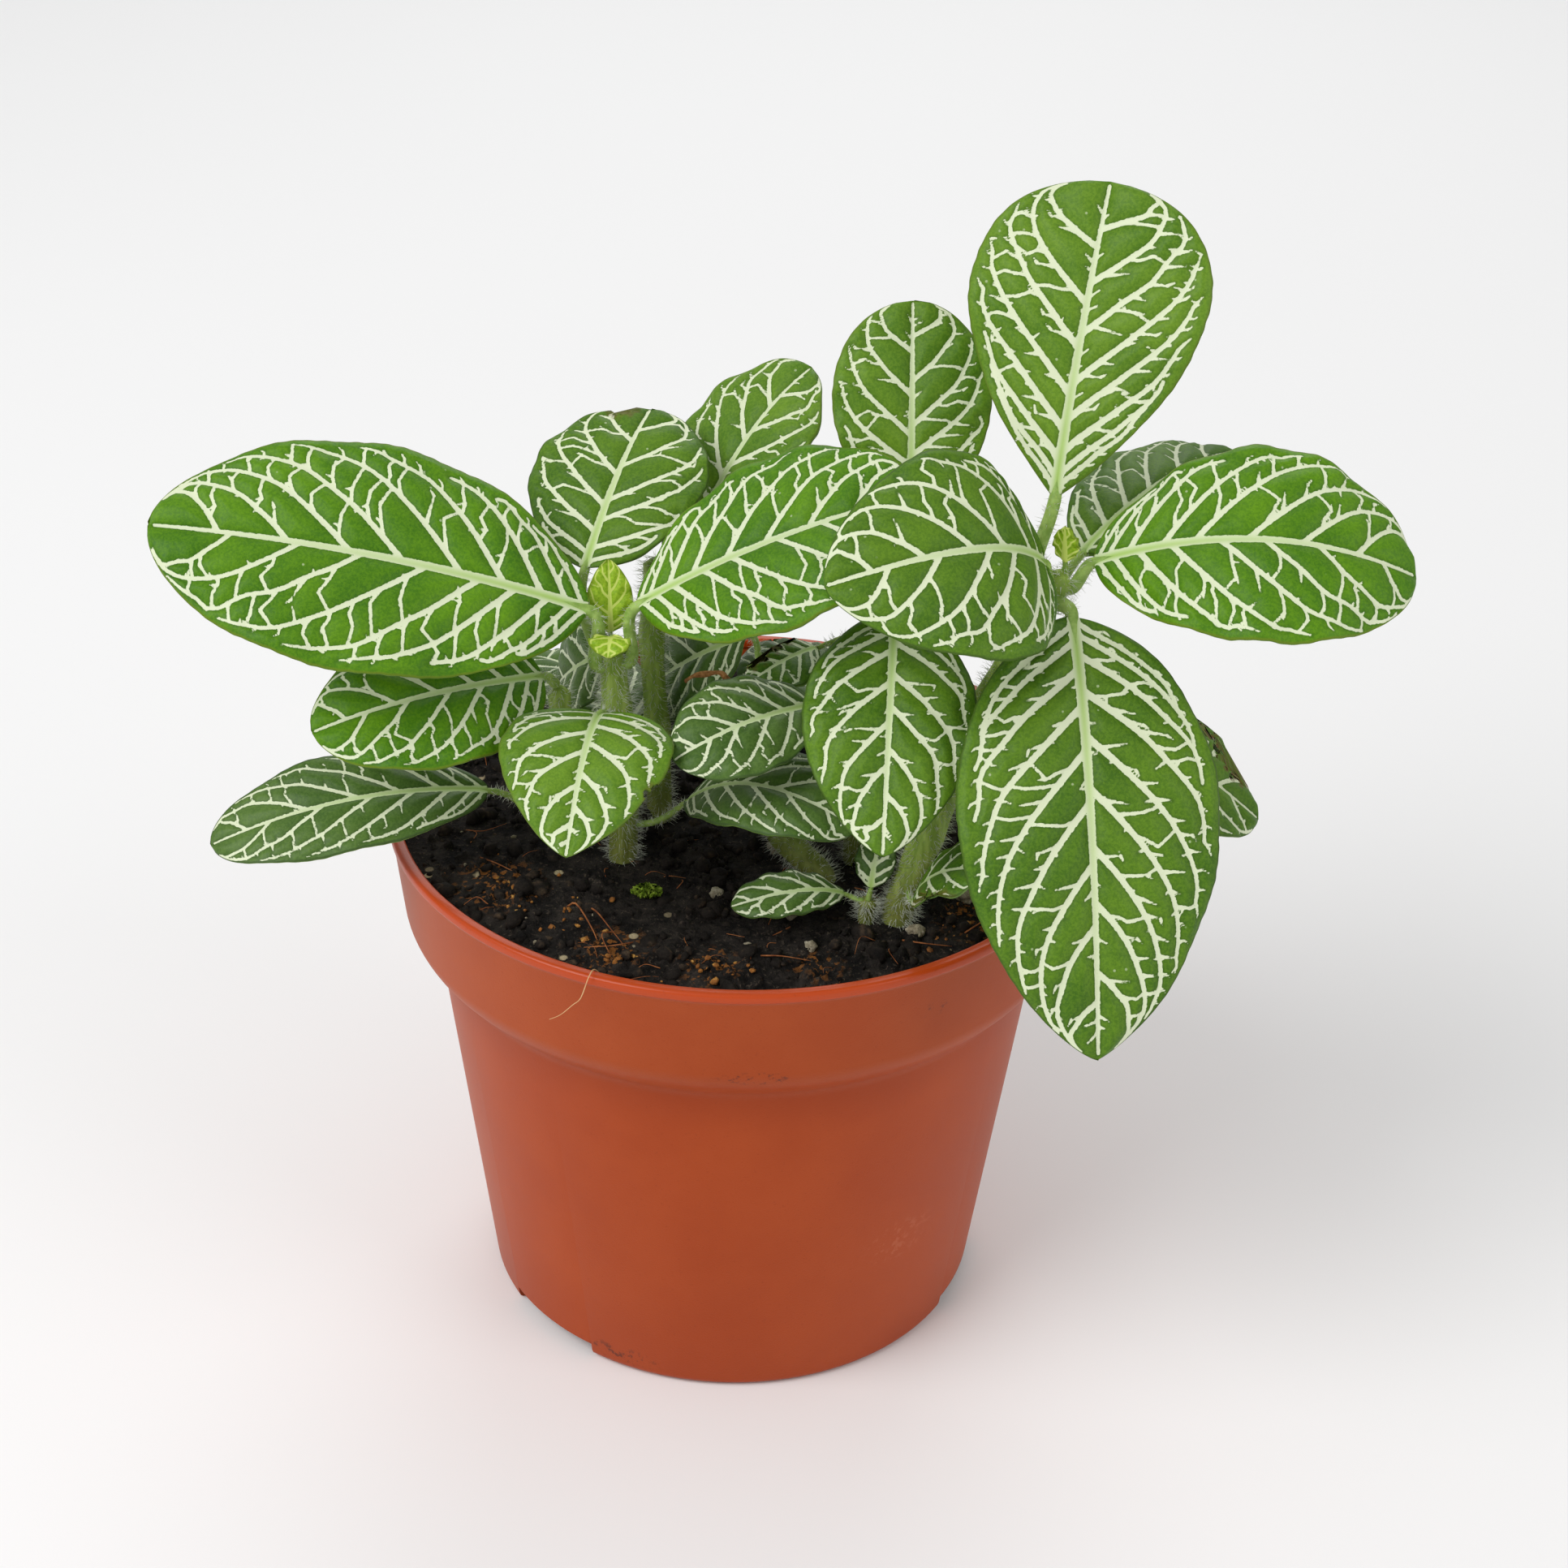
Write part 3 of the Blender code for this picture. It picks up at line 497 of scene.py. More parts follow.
# ------------------------------------------------------------------ stems
# Soft green rooted stems, a little swollen where leaves join them and browner near the peat,
# clothed in short white hairs. Each goes down into the mix.
STEMS = {  # bearing, reach from the pot's axis, radius at foot and top, and points, in mm
    "left": dict(bearing=218, reach=21.5, radius=(2.2, 1.9),
        points=[(0, 0, 0), (0.2, 0, 13), (-0.8, 0, 26), (-1.6, -1, 37)]),
    "left_rear": dict(bearing=190, reach=12.3, radius=(2.0, 1.6),
        points=[(0, 0, 0), (-0.5, 2, 15), (-1.5, 4, 30), (-1, 6, 42)]),
    "left_side": dict(bearing=201, reach=25.6, radius=(1.8, 1.5),
        points=[(0, 0, 0), (-1.5, 0, 12), (-2.5, -1, 28)]),
    "middle": dict(bearing=303, reach=22.5, radius=(2.2, 1.7),
        points=[(0, 0, 0), (-6, 3, 8), (-9, 8, 17), (-9, 11, 26)]),
    "centre": dict(bearing=325, reach=21.5, radius=(2.1, 1.8),
        points=[(0, 0, 0), (-0.5, 0.5, 15), (1, 1, 32), (4.5, 0.5, 48)]),
    "right": dict(bearing=311, reach=35.8, radius=(2.4, 1.9),
        points=[(0, 0, 0), (3.5, 1, 14), (11, 4, 34), (20.5, 7, 53.5)]),
    "offset": dict(bearing=304, reach=33.7, radius=(1.3, 1.1),
        points=[(0, 0, 0), (0.2, -0.3, 4.5)]),
}
JOIN_GAP = 0.3  # between the solids of a leaf stalk and its stem
SUNK = 6  # how far a stem is drawn below the mix


def unit(vectors):
    return vectors / np.linalg.norm(vectors, axis=-1, keepdims=True)


def square_to(vector, axes):
    """The part of a vector that is square to each unit axis, at length 1."""
    return unit(vector - axes * (axes @ np.asarray(vector, float))[..., None]
                if np.ndim(vector) == 1 else vector - axes * (axes * vector).sum(-1, keepdims=True))


def stem_root(stem):
    bearing = math.radians(stem["bearing"])
    return np.array([stem["reach"] * math.cos(bearing), stem["reach"] * math.sin(bearing),
                     MIX_TOP / MM])


def stem_knots(stem):
    knots = [stem_root(stem) + np.array(p, float) for p in stem["points"]]
    knots[0][2] += MOUND / MM + 2 * JOIN_GAP
    return knots


def curve_through(knots, s):
    """Points at s, from 0 to 1, on a smooth curve through the knots, and its directions."""
    ends = np.array([2 * knots[0] - knots[1], *knots, 2 * knots[-1] - knots[-2]])
    u = np.clip(s, 0, 1) * (len(knots) - 1)
    i = np.minimum(u.astype(int), len(knots) - 2)
    t = (u - i)[:, None]
    a, b, c, d = (ends[i + k] for k in range(4))
    place = 0.5 * (2 * b + (c - a) * t + (2 * a - 5 * b + 4 * c - d) * t**2
                   + (3 * b - a - 3 * c + d) * t**3)
    along = (c - a) + 2 * (2 * a - 5 * b + 4 * c - d) * t + 3 * (3 * b - a - 3 * c + d) * t**2
    return place, unit(along)


def straight_tube(sides, rungs):
    """A closed tube one unit long and one in radius, with rings all the way up it."""
    work = bmesh.new()
    bmesh.ops.create_cone(work, cap_ends=True, segments=sides, radius1=1, radius2=1, depth=1)
    upright = [e for e in work.edges if abs(e.verts[0].co.z - e.verts[1].co.z) > 0.5]
    bmesh.ops.subdivide_edges(work, edges=upright, cuts=rungs - 1)
    return work


def axes_along(path, s, across):
    """Points of a path, its directions there, and two directions square to it."""
    centre, along = path(s)
    side = square_to(np.array(across, float), along)
    return centre, along, side, np.cross(along, side)


def bend_tube(mesh, path, radius, across):
    """Bends a straight tube along path(s) with radius(s), all in mm from the pot's axis."""
    places = read_places(mesh)
    s = places[:, 2] + 0.5
    centre, _, side, over = axes_along(path, s, across)
    thick = radius(s)[:, None]
    write_places(mesh, (centre + thick * (places[:, :1] * side + places[:, 1:2] * over)) * MM
                 + POT_AXIS)


def hairs(name, path, radius, across, count, reach, rng, clear=0.0):
    """Short tapering hairs that stand off a tube, as one mesh."""
    work = bmesh.new()
    bmesh.ops.create_cone(work, cap_ends=False, segments=3, radius1=1, radius2=0.25, depth=1,
                          matrix=Matrix.Translation((0, 0, 0.5)))
    mesh, places = copies(name, work, count)
    s = clear + (1 - clear) * rng.random(count)
    centre, along, side, over = axes_along(path, s, across)
    turn = rng.uniform(0, 2 * math.pi, count)[:, None]
    out = side * np.cos(turn) + over * np.sin(turn)
    root = centre + out * radius(s)[:, None] * 0.95
    lean = unit(out + along * rng.normal(0.1, 0.3, (count, 1)) + rng.normal(0, 0.22, (count, 3)))
    flat = square_to(along, lean)
    third = np.cross(lean, flat)
    long = rng.uniform(*reach, count)[:, None, None]
    thin = 0.045
    placed = (root[:, None] + places[:, :, :1] * thin * flat[:, None]
              + places[:, :, 1:2] * thin * third[:, None] + places[:, :, 2:] * long * lean[:, None])
    write_places(mesh, placed.reshape(-1, 3) * MM + POT_AXIS)
    return mesh


def two_tone(name, scale, dark, light, **constants):
    """A smooth material of two colours, mixed by a soft noise that is also its roughness."""
    made, where = new_finish(name, 0.2, **constants)
    tint = where.noise(scale)
    return finish(made, tint.mix(dark, light), tint * 0.2 + 0.6)


def joined(name, parts, materials):
    """One object of several meshes, each with its material's number, or None to keep its own."""
    work = bmesh.new()
    for mesh, number in parts:
        if number is not None:
            mesh.polygons.foreach_set("material_index",
                                      np.full(len(mesh.polygons), number, np.int32))
        work.from_mesh(mesh)
    made = new_object(name, new_mesh(name, work))
    for material in materials:
        made.data.materials.append(material)
    return made


green, where = new_finish("stem_green", 0.35, Subsurface_Weight=0.12, Subsurface_Scale=0.0015)
streak = where.vector("MULTIPLY", (1, 1, 0.15)).noise(900, 3, 0.6)
colour = streak.step(0.35, 0.7).mix(srgb(122, 150, 54), srgb(164, 188, 92))
colour = (where.height().step(0.094, 0.080) * 0.55).mix(colour, srgb(104, 84, 52))
finish(green, colour, streak * 0.2 + 0.42, streak, depth=0.0002, strength=0.6)
down = two_tone("white_down", 500, srgb(214, 220, 200), srgb(240, 242, 232), Alpha=0.75)

rng = np.random.default_rng(21)
for name, stem in STEMS.items():
    knots = stem_knots(stem)
    foot, top = stem["radius"]
    knots.insert(0, knots[0] - (0, 0, SUNK))
    tall = sum(np.linalg.norm(b - a) for a, b in zip(knots, knots[1:]))
    joints = np.linspace(0, 1, len(knots))[2:]

    def path(s, knots=knots):
        return curve_through(knots, s)

    def radius(s, foot=foot, top=top, joints=joints, tall=tall):
        thick = foot + (top - foot) * s
        for joint in joints:
            thick = thick + 0.16 * foot * np.exp(-((s - joint) * tall / 2.2) ** 2)
        blunt = np.clip((s * tall - tall + 1.2) / 1.2, 0, 1)
        return thick * np.sqrt(1 - 0.93 * blunt**2)

    mesh = new_mesh(name, straight_tube(18, max(12, round(tall))))
    bend_tube(mesh, path, radius, (1, 0, 0))
    count = round(tall * 42)
    fuzz = hairs(name + "_down", path, radius, (1, 0, 0), count, (0.8, 1.9), rng, clear=0.16)
    made = joined("stem_with_down_" + name, [(mesh, 0), (fuzz, 1)], [green, down])
    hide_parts("stem_" + name)
    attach(made, "root")

# ------------------------------------------------------------------ leaves
# Each leaf is a soft green blade on a short stalk. A net of cream-white veins is sunk in its
# upper face, and the green puffs up between them; the underside is paler, with a raised midrib.


def leaf_on(stem, point, down, base, tip, width, arch, **habits):
    """A leaf's shape and habits, in mm and degrees, from the point of the stem that bears it."""
    usual = dict(sway=(0, 0), roll=0, fold=10, curl=-25, taper=(0.62, 0.55), tone="middling",
                 netted=0.5,  # how much of the net is closed by cross veins, not short thorns
                 swept=0.82,  # how much of the blade lies beyond the end of its first side vein
                 torn=())  # bites out of the blade: along, across and size in mm
    return {**usual, "stem": stem, "point": point, "down": down, "base": base, "tip": tip,
            "width": width, "arch": arch, **habits}


# tone picks each leaf's finish: the "sunlit" and "dark" tones are painted light and painted shade
LEAVES = {
    "leaf_left_large": leaf_on("left", 3, 3, (-3, -2, 6.5), (-63, -4, 18.5), 35, (5.5, 5), roll=-38,
        taper=(0.62, 0.58), tone="bright", netted=0.9, swept=0.86),
    "leaf_left_back": leaf_on("left", 3, 5, (-4, 6, 9), (4, 30, 23), 26.5, (2, 3), netted=0.6,
        torn=((0.97, -0.9, 2.2),)),
    "leaf_left_inner": leaf_on("left", 3, 3, (4, -2, 7.5), (42.5, -4, 26.5), 30, (3, 3), roll=28,
        tone="bright", netted=0.85),
    "leaf_left_front": leaf_on("left", 2, 0, (-2, -7, 3), (-5, -31, -6), 24.5, (6, 3), fold=14,
        curl=-30, taper=(0.4, 0.78), tone="sunlit", netted=0.3, swept=0.74,
        torn=((0.62, -1.12, 1.6),)),
    "leaf_left_lower": leaf_on("left_side", 2, 0, (-2, -3, 3), (-33, -16, 0), 23, (3, 4), roll=-32,
        taper=(0.48, 0.55), tone="bright", netted=0.85),
    "leaf_left_lowest": leaf_on("left_side", 0, -4, (-12.5, -6, 13), (-51, -17, 9), 17, (6, 6),
        roll=-25, tone="dark", netted=0.7),
    "leaf_left_low_right": leaf_on("left", 0, -5, (9.5, -2.5, 12.5), (34, -16.5, 17), 16, (8, 8),
        roll=20, tone="dark", netted=0.3),
    "leaf_rear": leaf_on("left_rear", 3, 1, (3.5, 2, -1.5), (22, 14, 24.5), 25, (3, 4), roll=5,
        curl=-20, sway=(1, -1), tone="sunlit", netted=0.3),
    "leaf_rear_right": leaf_on("left_rear", 3, 5, (3.5, 5, -3), (19, 32, -13), 21, (3, 4)),
    "leaf_rear_dark": leaf_on("left_rear", 2, 0, (-5.5, 0, -2.5), (-14.5, 8, -13), 14, (2, 2),
        roll=-60, tone="dark"),
    "leaf_rear_low": leaf_on("left_rear", 1, 0, (-2.5, 5, -2), (-22, 30, -4), 19, (3, 4), tone="dark"),
    "leaf_middle_left": leaf_on("middle", 3, 0, (-3, 7, 6), (-18, 20, -10.5), 17, (2, 2), roll=-60,
        tone="dark"),
    "leaf_centre_back": leaf_on("centre", 3, 2, (1, 6, 8), (0.5, 20, 33), 22.5, (1, 1), curl=-20,
        taper=(0.55, 0.5), tone="sunlit", netted=0.35, swept=0.74),
    "leaf_centre_front": leaf_on("centre", 3, 2, (-1, -8, -2), (-2, -33, -26), 24, (4, 3),
        taper=(0.6, 0.75), netted=0.3, swept=0.76),
    "leaf_centre_left": leaf_on("centre", 2, 1, (-8, -7, -1.5), (-27.5, -18, -5), 16, (3, 4), roll=-28,
        tone="dark", netted=0.4),
    "leaf_centre_torn": leaf_on("centre", 2, -5, (-8, 5.5, 1), (-17.5, -0.5, -2), 11, (1, 1), roll=-10,
        torn=((0.5, 1.0, 3), (0.75, 0.9, 2.5), (0.25, 1.05, 2))),
    "leaf_centre_right": leaf_on("centre", 2, 0, (2.5, 4.5, 0), (20, 31.5, -1), 22, (3, 4)),
    "leaf_centre_rear": leaf_on("centre", 1, 0, (-2, 5, 2), (-13, 34, 4), 20, (3, 4), tone="dark"),
    "leaf_right_tall": leaf_on("right", 3, 4, (-1.5, 6, 8), (4.5, 24, 47), 33.5, (2, 2), curl=-20,
        taper=(0.95, 0.5), tone="sunlit", netted=0.28, swept=0.7),
    "leaf_right_inner": leaf_on("right", 3, 2, (-3, -2, 2), (-33, -20, 6.5), 31, (12, 8), roll=-42,
        curl=-30, taper=(0.42, 0.62), netted=0.8, swept=0.8),
    "leaf_right_outer": leaf_on("right", 3, 2, (4, 0, 1.5), (47, -4, 2.5), 30.5, (10, 11), roll=34,
        tone="bright", netted=0.75),
    "leaf_right_front": leaf_on("right", 3, 4, (1, -6, -4), (6, -38, -54.5), 36.5, (6, 4),
        taper=(0.6, 0.75), netted=0.3, swept=0.76),
    "leaf_right_back": leaf_on("right", 3, 9, (3, 6, 0), (27.5, 36, 2.5), 22, (4, 4)),
    "leaf_right_torn": leaf_on("right", 2, 0, (8, 6, 1), (40.5, 5, -20.5), 24, (3, 2), roll=15,
        torn=((0.55, -1.05, 5.5), (0.3, -1.1, 4), (0.85, -0.9, 4))),
    "leaf_right_rear": leaf_on("right", 1, 0, (2, 5, 2), (19, 32, 3), 20, (3, 4), tone="dark"),
    "leaf_right_low": leaf_on("right", 0, -4, (2, -6.5, 8.5), (11.5, -12.5, 17), 12, (3, 3), roll=20,
        torn=((0.3, 1.1, 2.5), (0.6, 1.1, 2))),
    "leaf_offset_left": leaf_on("offset", 1, 0.5, (-3.5, 0.5, 0.5), (-19.5, -5.5, 1.5), 8, (3, 2),
        roll=-20, tone="dark"),
    "leaf_offset_upright": leaf_on("offset", 1, 0, (0.3, 0.2, 1.8), (1.5, 3.9, 8.5), 6, (0.5, 0.5),
        tone="dark"),
}
CELL = 0.29  # mesh cell across a blade, in mm
BLADE = 0.34  # thickness of a blade, in mm


def bezier(points, t):
    a, b, c, d = points
    t = np.asarray(t, float)[..., None]
    s = 1 - t
    place = a * s**3 + 3 * b * s * s * t + 3 * c * s * t * t + d * t**3
    return place, unit((b - a) * s * s + 2 * (c - b) * s * t + (d - c) * t * t)


def turned(vector, axis, degrees):
    return np.array(Matrix.Rotation(math.radians(degrees), 3, Vector(axis)) @ Vector(vector))


def stem_node(leaf):
    stem = STEMS[leaf["stem"]]
    return stem_root(stem) + np.array(stem["points"][leaf["point"]], float)


def blade_frame(leaf):
    """The midrib as a Bezier curve, and the blade's sideways direction."""
    base, tip = (stem_node(leaf) + np.array(leaf[k], float) for k in ("base", "tip"))
    chord = unit(tip - base)
    lift = turned(square_to(np.array([0, 0, 1.0]), chord), chord, leaf["roll"])
    side = np.cross(chord, lift)
    near, far = (lift * arch + side * sway
                 for arch, sway in zip(leaf["arch"], leaf["sway"]))
    third = (tip - base) / 3
    return (base, base + third + near, tip - third + far, tip), side


def half_width(leaf, t):
    near, far = leaf["taper"]
    widest = near / (near + far)
    full = widest**near * (1 - widest)**far
    return leaf["width"] / 2 * t**near * (1 - t)**far / full


def blade_places(leaf, t, v):
    """Points of the blade's middle surface, the normals there and the midrib's directions."""
    midrib, side = blade_frame(leaf)
    place, along = bezier(midrib, t)
    side = square_to(side, along)
    lift = np.cross(side, along)
    fold, curl = math.radians(leaf["fold"]), math.radians(leaf["curl"])
    bend = (fold + curl * np.abs(v))[..., None]
    out = np.where(v[..., None] >= 0, side, -side)
    reach = (half_width(leaf, t) / curl)[..., None]
    place = (place + out * reach * (np.sin(bend) - math.sin(fold))
             + lift * reach * (math.cos(fold) - np.cos(bend)))
    return place, lift * np.cos(bend) - out * np.sin(bend), lift


def stalk_path(leaf):
    """The stalk from the stem's surface to the blade, and its radius."""
    stem = STEMS[leaf["stem"]]
    knots = stem_knots(stem)
    point = leaf["point"]
    axis = unit(knots[point] - knots[point - 1]) if point else unit(knots[1] - knots[0])
    start = knots[point] - axis * leaf["down"]
    (base, control, _, _), _ = blade_frame(leaf)
    across = base - start - axis * (axis @ (base - start))
    on_top = point == len(knots) - 1 and leaf["down"] == 0
    foot, top = stem["radius"]
    thick = max(foot, top) if point == 0 else foot + (top - foot) * point / (len(knots) - 1)
    if on_top and np.linalg.norm(across) < thick:
        away = axis
    else:
        away = unit(base - start) if on_top and (base - start) @ axis > 0 else unit(across)
        start = start + away * thick * 0.6
    radius = min(max(leaf["width"] * 0.034, 0.45), 1.15)
    reach = np.linalg.norm(base - start) * 0.4
    return (start, start + away * reach, base - unit(control - base) * reach, base), radius


def vein_at(vein, x):
    """How far from the midrib a side vein passes x."""
    return np.interp(x, vein[:, 0], np.abs(vein[:, 1]))


class Net:
    """The veins of one blade, as straight bits in its flattened plane, in mm."""

    FULL_WIDTH = 34  # a blade this wide has veins of full thickness
    ACROSS = 0.87  # the share of the half blade that a side vein crosses
    TAIL = np.linspace(0.885, 0.925, 5)  # the same share along its tail
    THICK = 0.26  # half the thickness of a side vein at its far end

    def __init__(self, leaf, length, rng):
        self.leaf, self.length, self.rng, self.netted = leaf, length, rng, leaf["netted"]
        self.bits, self.major = [], []
        self.scale = float(np.clip(leaf["width"] / self.FULL_WIDTH, 0.42, 1)) ** 0.6
        x = np.linspace(0, 0.985 * length, 40)
        self.draw(np.stack([x, np.zeros_like(x)], 1), 0.9, 0.27, major=True)
        for hand in (-1, 1):
            self.half(hand)

    def width(self, x):
        return half_width(self.leaf, np.clip(x / self.length, 0.0005, 0.9995))

    def draw(self, points, first, last, major=False):
        points = np.asarray(points, float)
        thick = np.linspace(first, last, len(points)) * self.scale
        bits = list(zip(points[:-1], points[1:], thick[:-1], thick[1:]))
        self.bits += bits
        if major:
            self.major += bits

    def side_vein(self, start, end, hand, hug):
        """A side vein, which bends the sooner to the margin the more it hugs it, and its tail."""
        s = np.linspace(0, 1, 14)
        x = start + (end - start) * (0.9 * s + 0.1 * s * s)
        share = self.ACROSS * (1 - (1 - s) ** hug)
        wobble = self.rng.normal(0, 0.22, 2) * self.scale
        y = share * self.width(x) + (wobble[0] * np.sin(3 * math.pi * s)
                                     + wobble[1] * np.sin(5 * math.pi * s)) * s
        main = np.stack([x, hand * np.maximum(y, 0)], 1)
        # its tail runs on beside the margin, further on a netted leaf than on a thorny one
        ahead = np.linspace(0, 1, 6)[1:] * self.length * (0.015 + 0.06 * self.netted)
        x = np.minimum(x[-1] + ahead, self.length * 0.978)
        return main, np.stack([x, hand * self.width(x) * self.TAIL], 1)

    def half(self, hand):
        """The side veins of one side of the midrib, and what joins them."""
        rng, length = self.rng, self.length
        count = round(3.8 + length / 11.5)
        starts = length * 0.93 * ((np.arange(count) + 0.42 + 0.16 * hand
                                   + rng.normal(0, 0.06, count)) / count) ** 1.65
        veins = []
        for start in starts:
            end = length * min(1 - self.leaf["swept"] * (1 - start / length) ** 2.5, 0.962)
            hug = 0.95 + 2.1 * math.exp(-start / (0.2 * length))
            main, tail = self.side_vein(start, end, hand, hug)
            slight = min(1, start / (0.13 * length))
            ends = (0.56 - 0.10 * self.netted - 0.12 * start / length) * (0.7 + 0.3 * slight)
            self.draw(main, ends, self.THICK, major=True)
            if slight == 1:
                self.draw(np.concatenate([main[-1:], tail]), self.THICK, self.THICK / 2)
                main = np.concatenate([main, tail])
            veins.append(main)
        for lower, vein in zip([None, *veins], veins):
            self.rungs(lower, vein, hand)
        for a, b in zip(starts, [*starts[1:], length * 0.97]):
            for _ in range(rng.integers(0, 3) if self.netted < 0.5 else 0):
                place = np.array([a + (b - a) * rng.uniform(0.25, 0.8), 0])
                reach = min(rng.uniform(0.3, 1.6), (b - a) * 0.3) * self.scale
                self.draw([place, place + self.tilted((0.6, hand * 0.8), rng.normal(0, 0.25))
                           * (reach + 0.6)], 0.26, 0.12)

    def along(self, vein, step):
        """Places every so often along a vein, with its direction there."""
        runs = np.linalg.norm(np.diff(vein, axis=0), axis=1)
        total = np.concatenate([[0], np.cumsum(runs)])
        place = self.rng.uniform(0.5, 1.1) * step
        while place < total[-1] - 0.2 * step:
            k = min(max(np.searchsorted(total, place) - 1, 0), len(runs) - 1)
            share = (place - total[k]) / max(runs[k], 1e-6)
            yield vein[k] * (1 - share) + vein[k + 1] * share, (vein[k + 1] - vein[k]) / runs[k]
            place += step * self.rng.uniform(0.75, 1.3) * (1.1 - 0.35 * place / total[-1])

    def rungs(self, lower, upper, hand):
        """Cross veins from one side vein out towards the one before it, or to the margin."""
        rng, closed = self.rng, self.netted
        step = (2.8 + 1.2 * closed) * (0.45 + 0.55 * self.scale)
        for place, heading in self.along(upper, step):
            x, y = place[0], abs(place[1])
            beside = lower is not None and x < lower[-1][0]
            outer = vein_at(lower, x) if beside else float(self.width(x)) * 0.94
            gap = outer - y
            if gap < 0.9:
                continue
            out = self.tilted((0.16, hand), rng.normal(0, 0.16))
            if not beside:
                reach = min(gap * 0.9, rng.uniform(0.9, 2.6) * self.scale)
                elbow = place + out * reach * 0.6
                self.draw([place, elbow, elbow + self.tilted(out, -0.7 * hand) * reach * 0.4],
                          0.21, 0.10)
                continue
            elbow = place + out * gap * rng.uniform(0.5, 0.72)
            x = x - gap * rng.uniform(0.0, 0.24) + 0.5
            foot = np.array([x, hand * vein_at(lower, x)])
            if rng.random() < closed:
                bow = (place + (elbow - place) * 0.5
                       + np.array([rng.normal(0, 0.16), 0]) * gap * 0.4)
                self.draw([place, bow, elbow, foot], 0.24, 0.21)
                if rng.random() < 0.5:
                    self.thorn(elbow, foot - elbow + (elbow - place), 0.9)
                if rng.random() < 0.3:
                    self.thorn(bow, (1, 0), 0.8)
                continue
            share = rng.uniform(0.55, 1.15)
            tip = place + (elbow - place) * share
            self.draw([place, place + (tip - place) * 0.5, tip], 0.32, 0.11)
            if rng.random() < 0.25:
                self.thorn(tip, heading, 0.8)
            if rng.random() < 0.6:
                inward = elbow - foot
                self.draw([foot, foot + inward * rng.uniform(0.3, 0.7)], 0.24, 0.12)
        for place, heading in self.along(upper, 2.6 * self.scale):
            if rng.random() < 0.4 - 0.12 * closed:
                self.thorn(place, (0.5, -hand) if rng.random() < 0.7 else (0.2, hand), 0.62)

    def tilted(self, vector, angle):
        c, s = math.cos(angle), math.sin(angle)
        x, y = unit(np.array(vector, float))
        return np.array([x * c - y * s, x * s + y * c])

    def thorn(self, place, heading, reach):
        tip = place + self.tilted(heading, self.rng.normal(0, 0.35)) * (reach * self.scale + 0.2)
        self.draw([place, tip], 0.26, 0.08)

    def nearest(self, bits, x, y, far=4.0):
        """How far each lattice point is from the edge of the nearest vein, below 0 inside it."""
        field = np.full(y.shape, far)
        for (ax, ay), (bx, by), wa, wb in bits:
            first, last = np.searchsorted(x, (min(ax, bx) - far, max(ax, bx) + far))
            if last <= first:
                continue
            px, py = x[first:last, None] - ax, y[first:last] - ay
            dx, dy = bx - ax, by - ay
            h = np.clip((px * dx + py * dy) / max(dx * dx + dy * dy, 1e-9), 0, 1)
            away = np.hypot(px - h * dx, py - h * dy) - (wa + (wb - wa) * h)
            field[first:last] = np.minimum(field[first:last], away)
        return field


def leaf_finish(name, dark, light, margin, sheen=0.40):
    made, where = new_finish(name, 0.22)
    vein, rib = where.attribute("vein"), where.attribute("rib")
    edge, dead = where.attribute("edge"), where.attribute("dead")
    clouds = where.noise(90, 3, 0.6)
    grain = where.noise(2400, 3, 0.7)
    colour = (clouds.step(0.3, 0.7) * 0.55 + grain.step(0.36, 0.64) * 0.45).mix(dark, light)
    # painted shade: the lamina goes darker along the sunken veins
    colour = (vein.step(0.4, 0.0) * 0.4).mix(colour, tuple(c * 0.62 for c in dark))
    colour = (edge.step(0.45, 0.15) * 0.75).mix(colour, margin)
    colour = (where.dots(620, (0.15, 0.08), (0.90, 0.93)) * 0.6).mix(colour, srgb(190, 205, 160))
    cream = rib.mix(srgb(218, 226, 192), srgb(168, 200, 106))
    rough_edge = (where.noise(1900, 2, 0.6) - 0.5) * 0.3
    line = (vein + rough_edge).step(0.045, -0.045) * edge.step(0.05, 0.3)
    colour = line.mix(colour, cream)
    colour = dead.mix(colour, srgb(106, 66, 36))
    return finish(made, colour, grain * 0.16 + sheen, grain * (1 - line * 0.7),
                  depth=0.00011, strength=0.55)


# Copies of one leaf finish, partly the leaves' own greens and partly painted light: "sunlit" is a
# painted lit copy, and "dark" is a painted shade copy for low and rear leaves, whose grey-blue light end
# stands in for painted sheen.
upper = {
    "bright": leaf_finish("leaf_bright", srgb(58, 108, 5), srgb(98, 146, 12), srgb(104, 124, 24)),
    "middling": leaf_finish("leaf_middling", srgb(58, 98, 14), srgb(98, 136, 28),
                            srgb(62, 88, 22)),
    "sunlit": leaf_finish("leaf_sunlit", srgb(70, 112, 17), srgb(110, 147, 37),
                          srgb(96, 120, 34)),
    "dark": leaf_finish("leaf_shaded", srgb(62, 94, 34), srgb(94, 124, 54), srgb(60, 84, 38), 0.34),
}


def mottled(name, shine, texture, dark, light, rough, depth, strength, **constants):
    """A material of two colours mixed by a noise, which is also its roughness and its bump."""
    made, where = new_finish(name, shine, **constants)
    grain = where.noise(*texture)
    return finish(made, grain.step(0.3, 0.7).mix(dark, light), grain * 0.2 + rough, grain,
                  depth, strength)


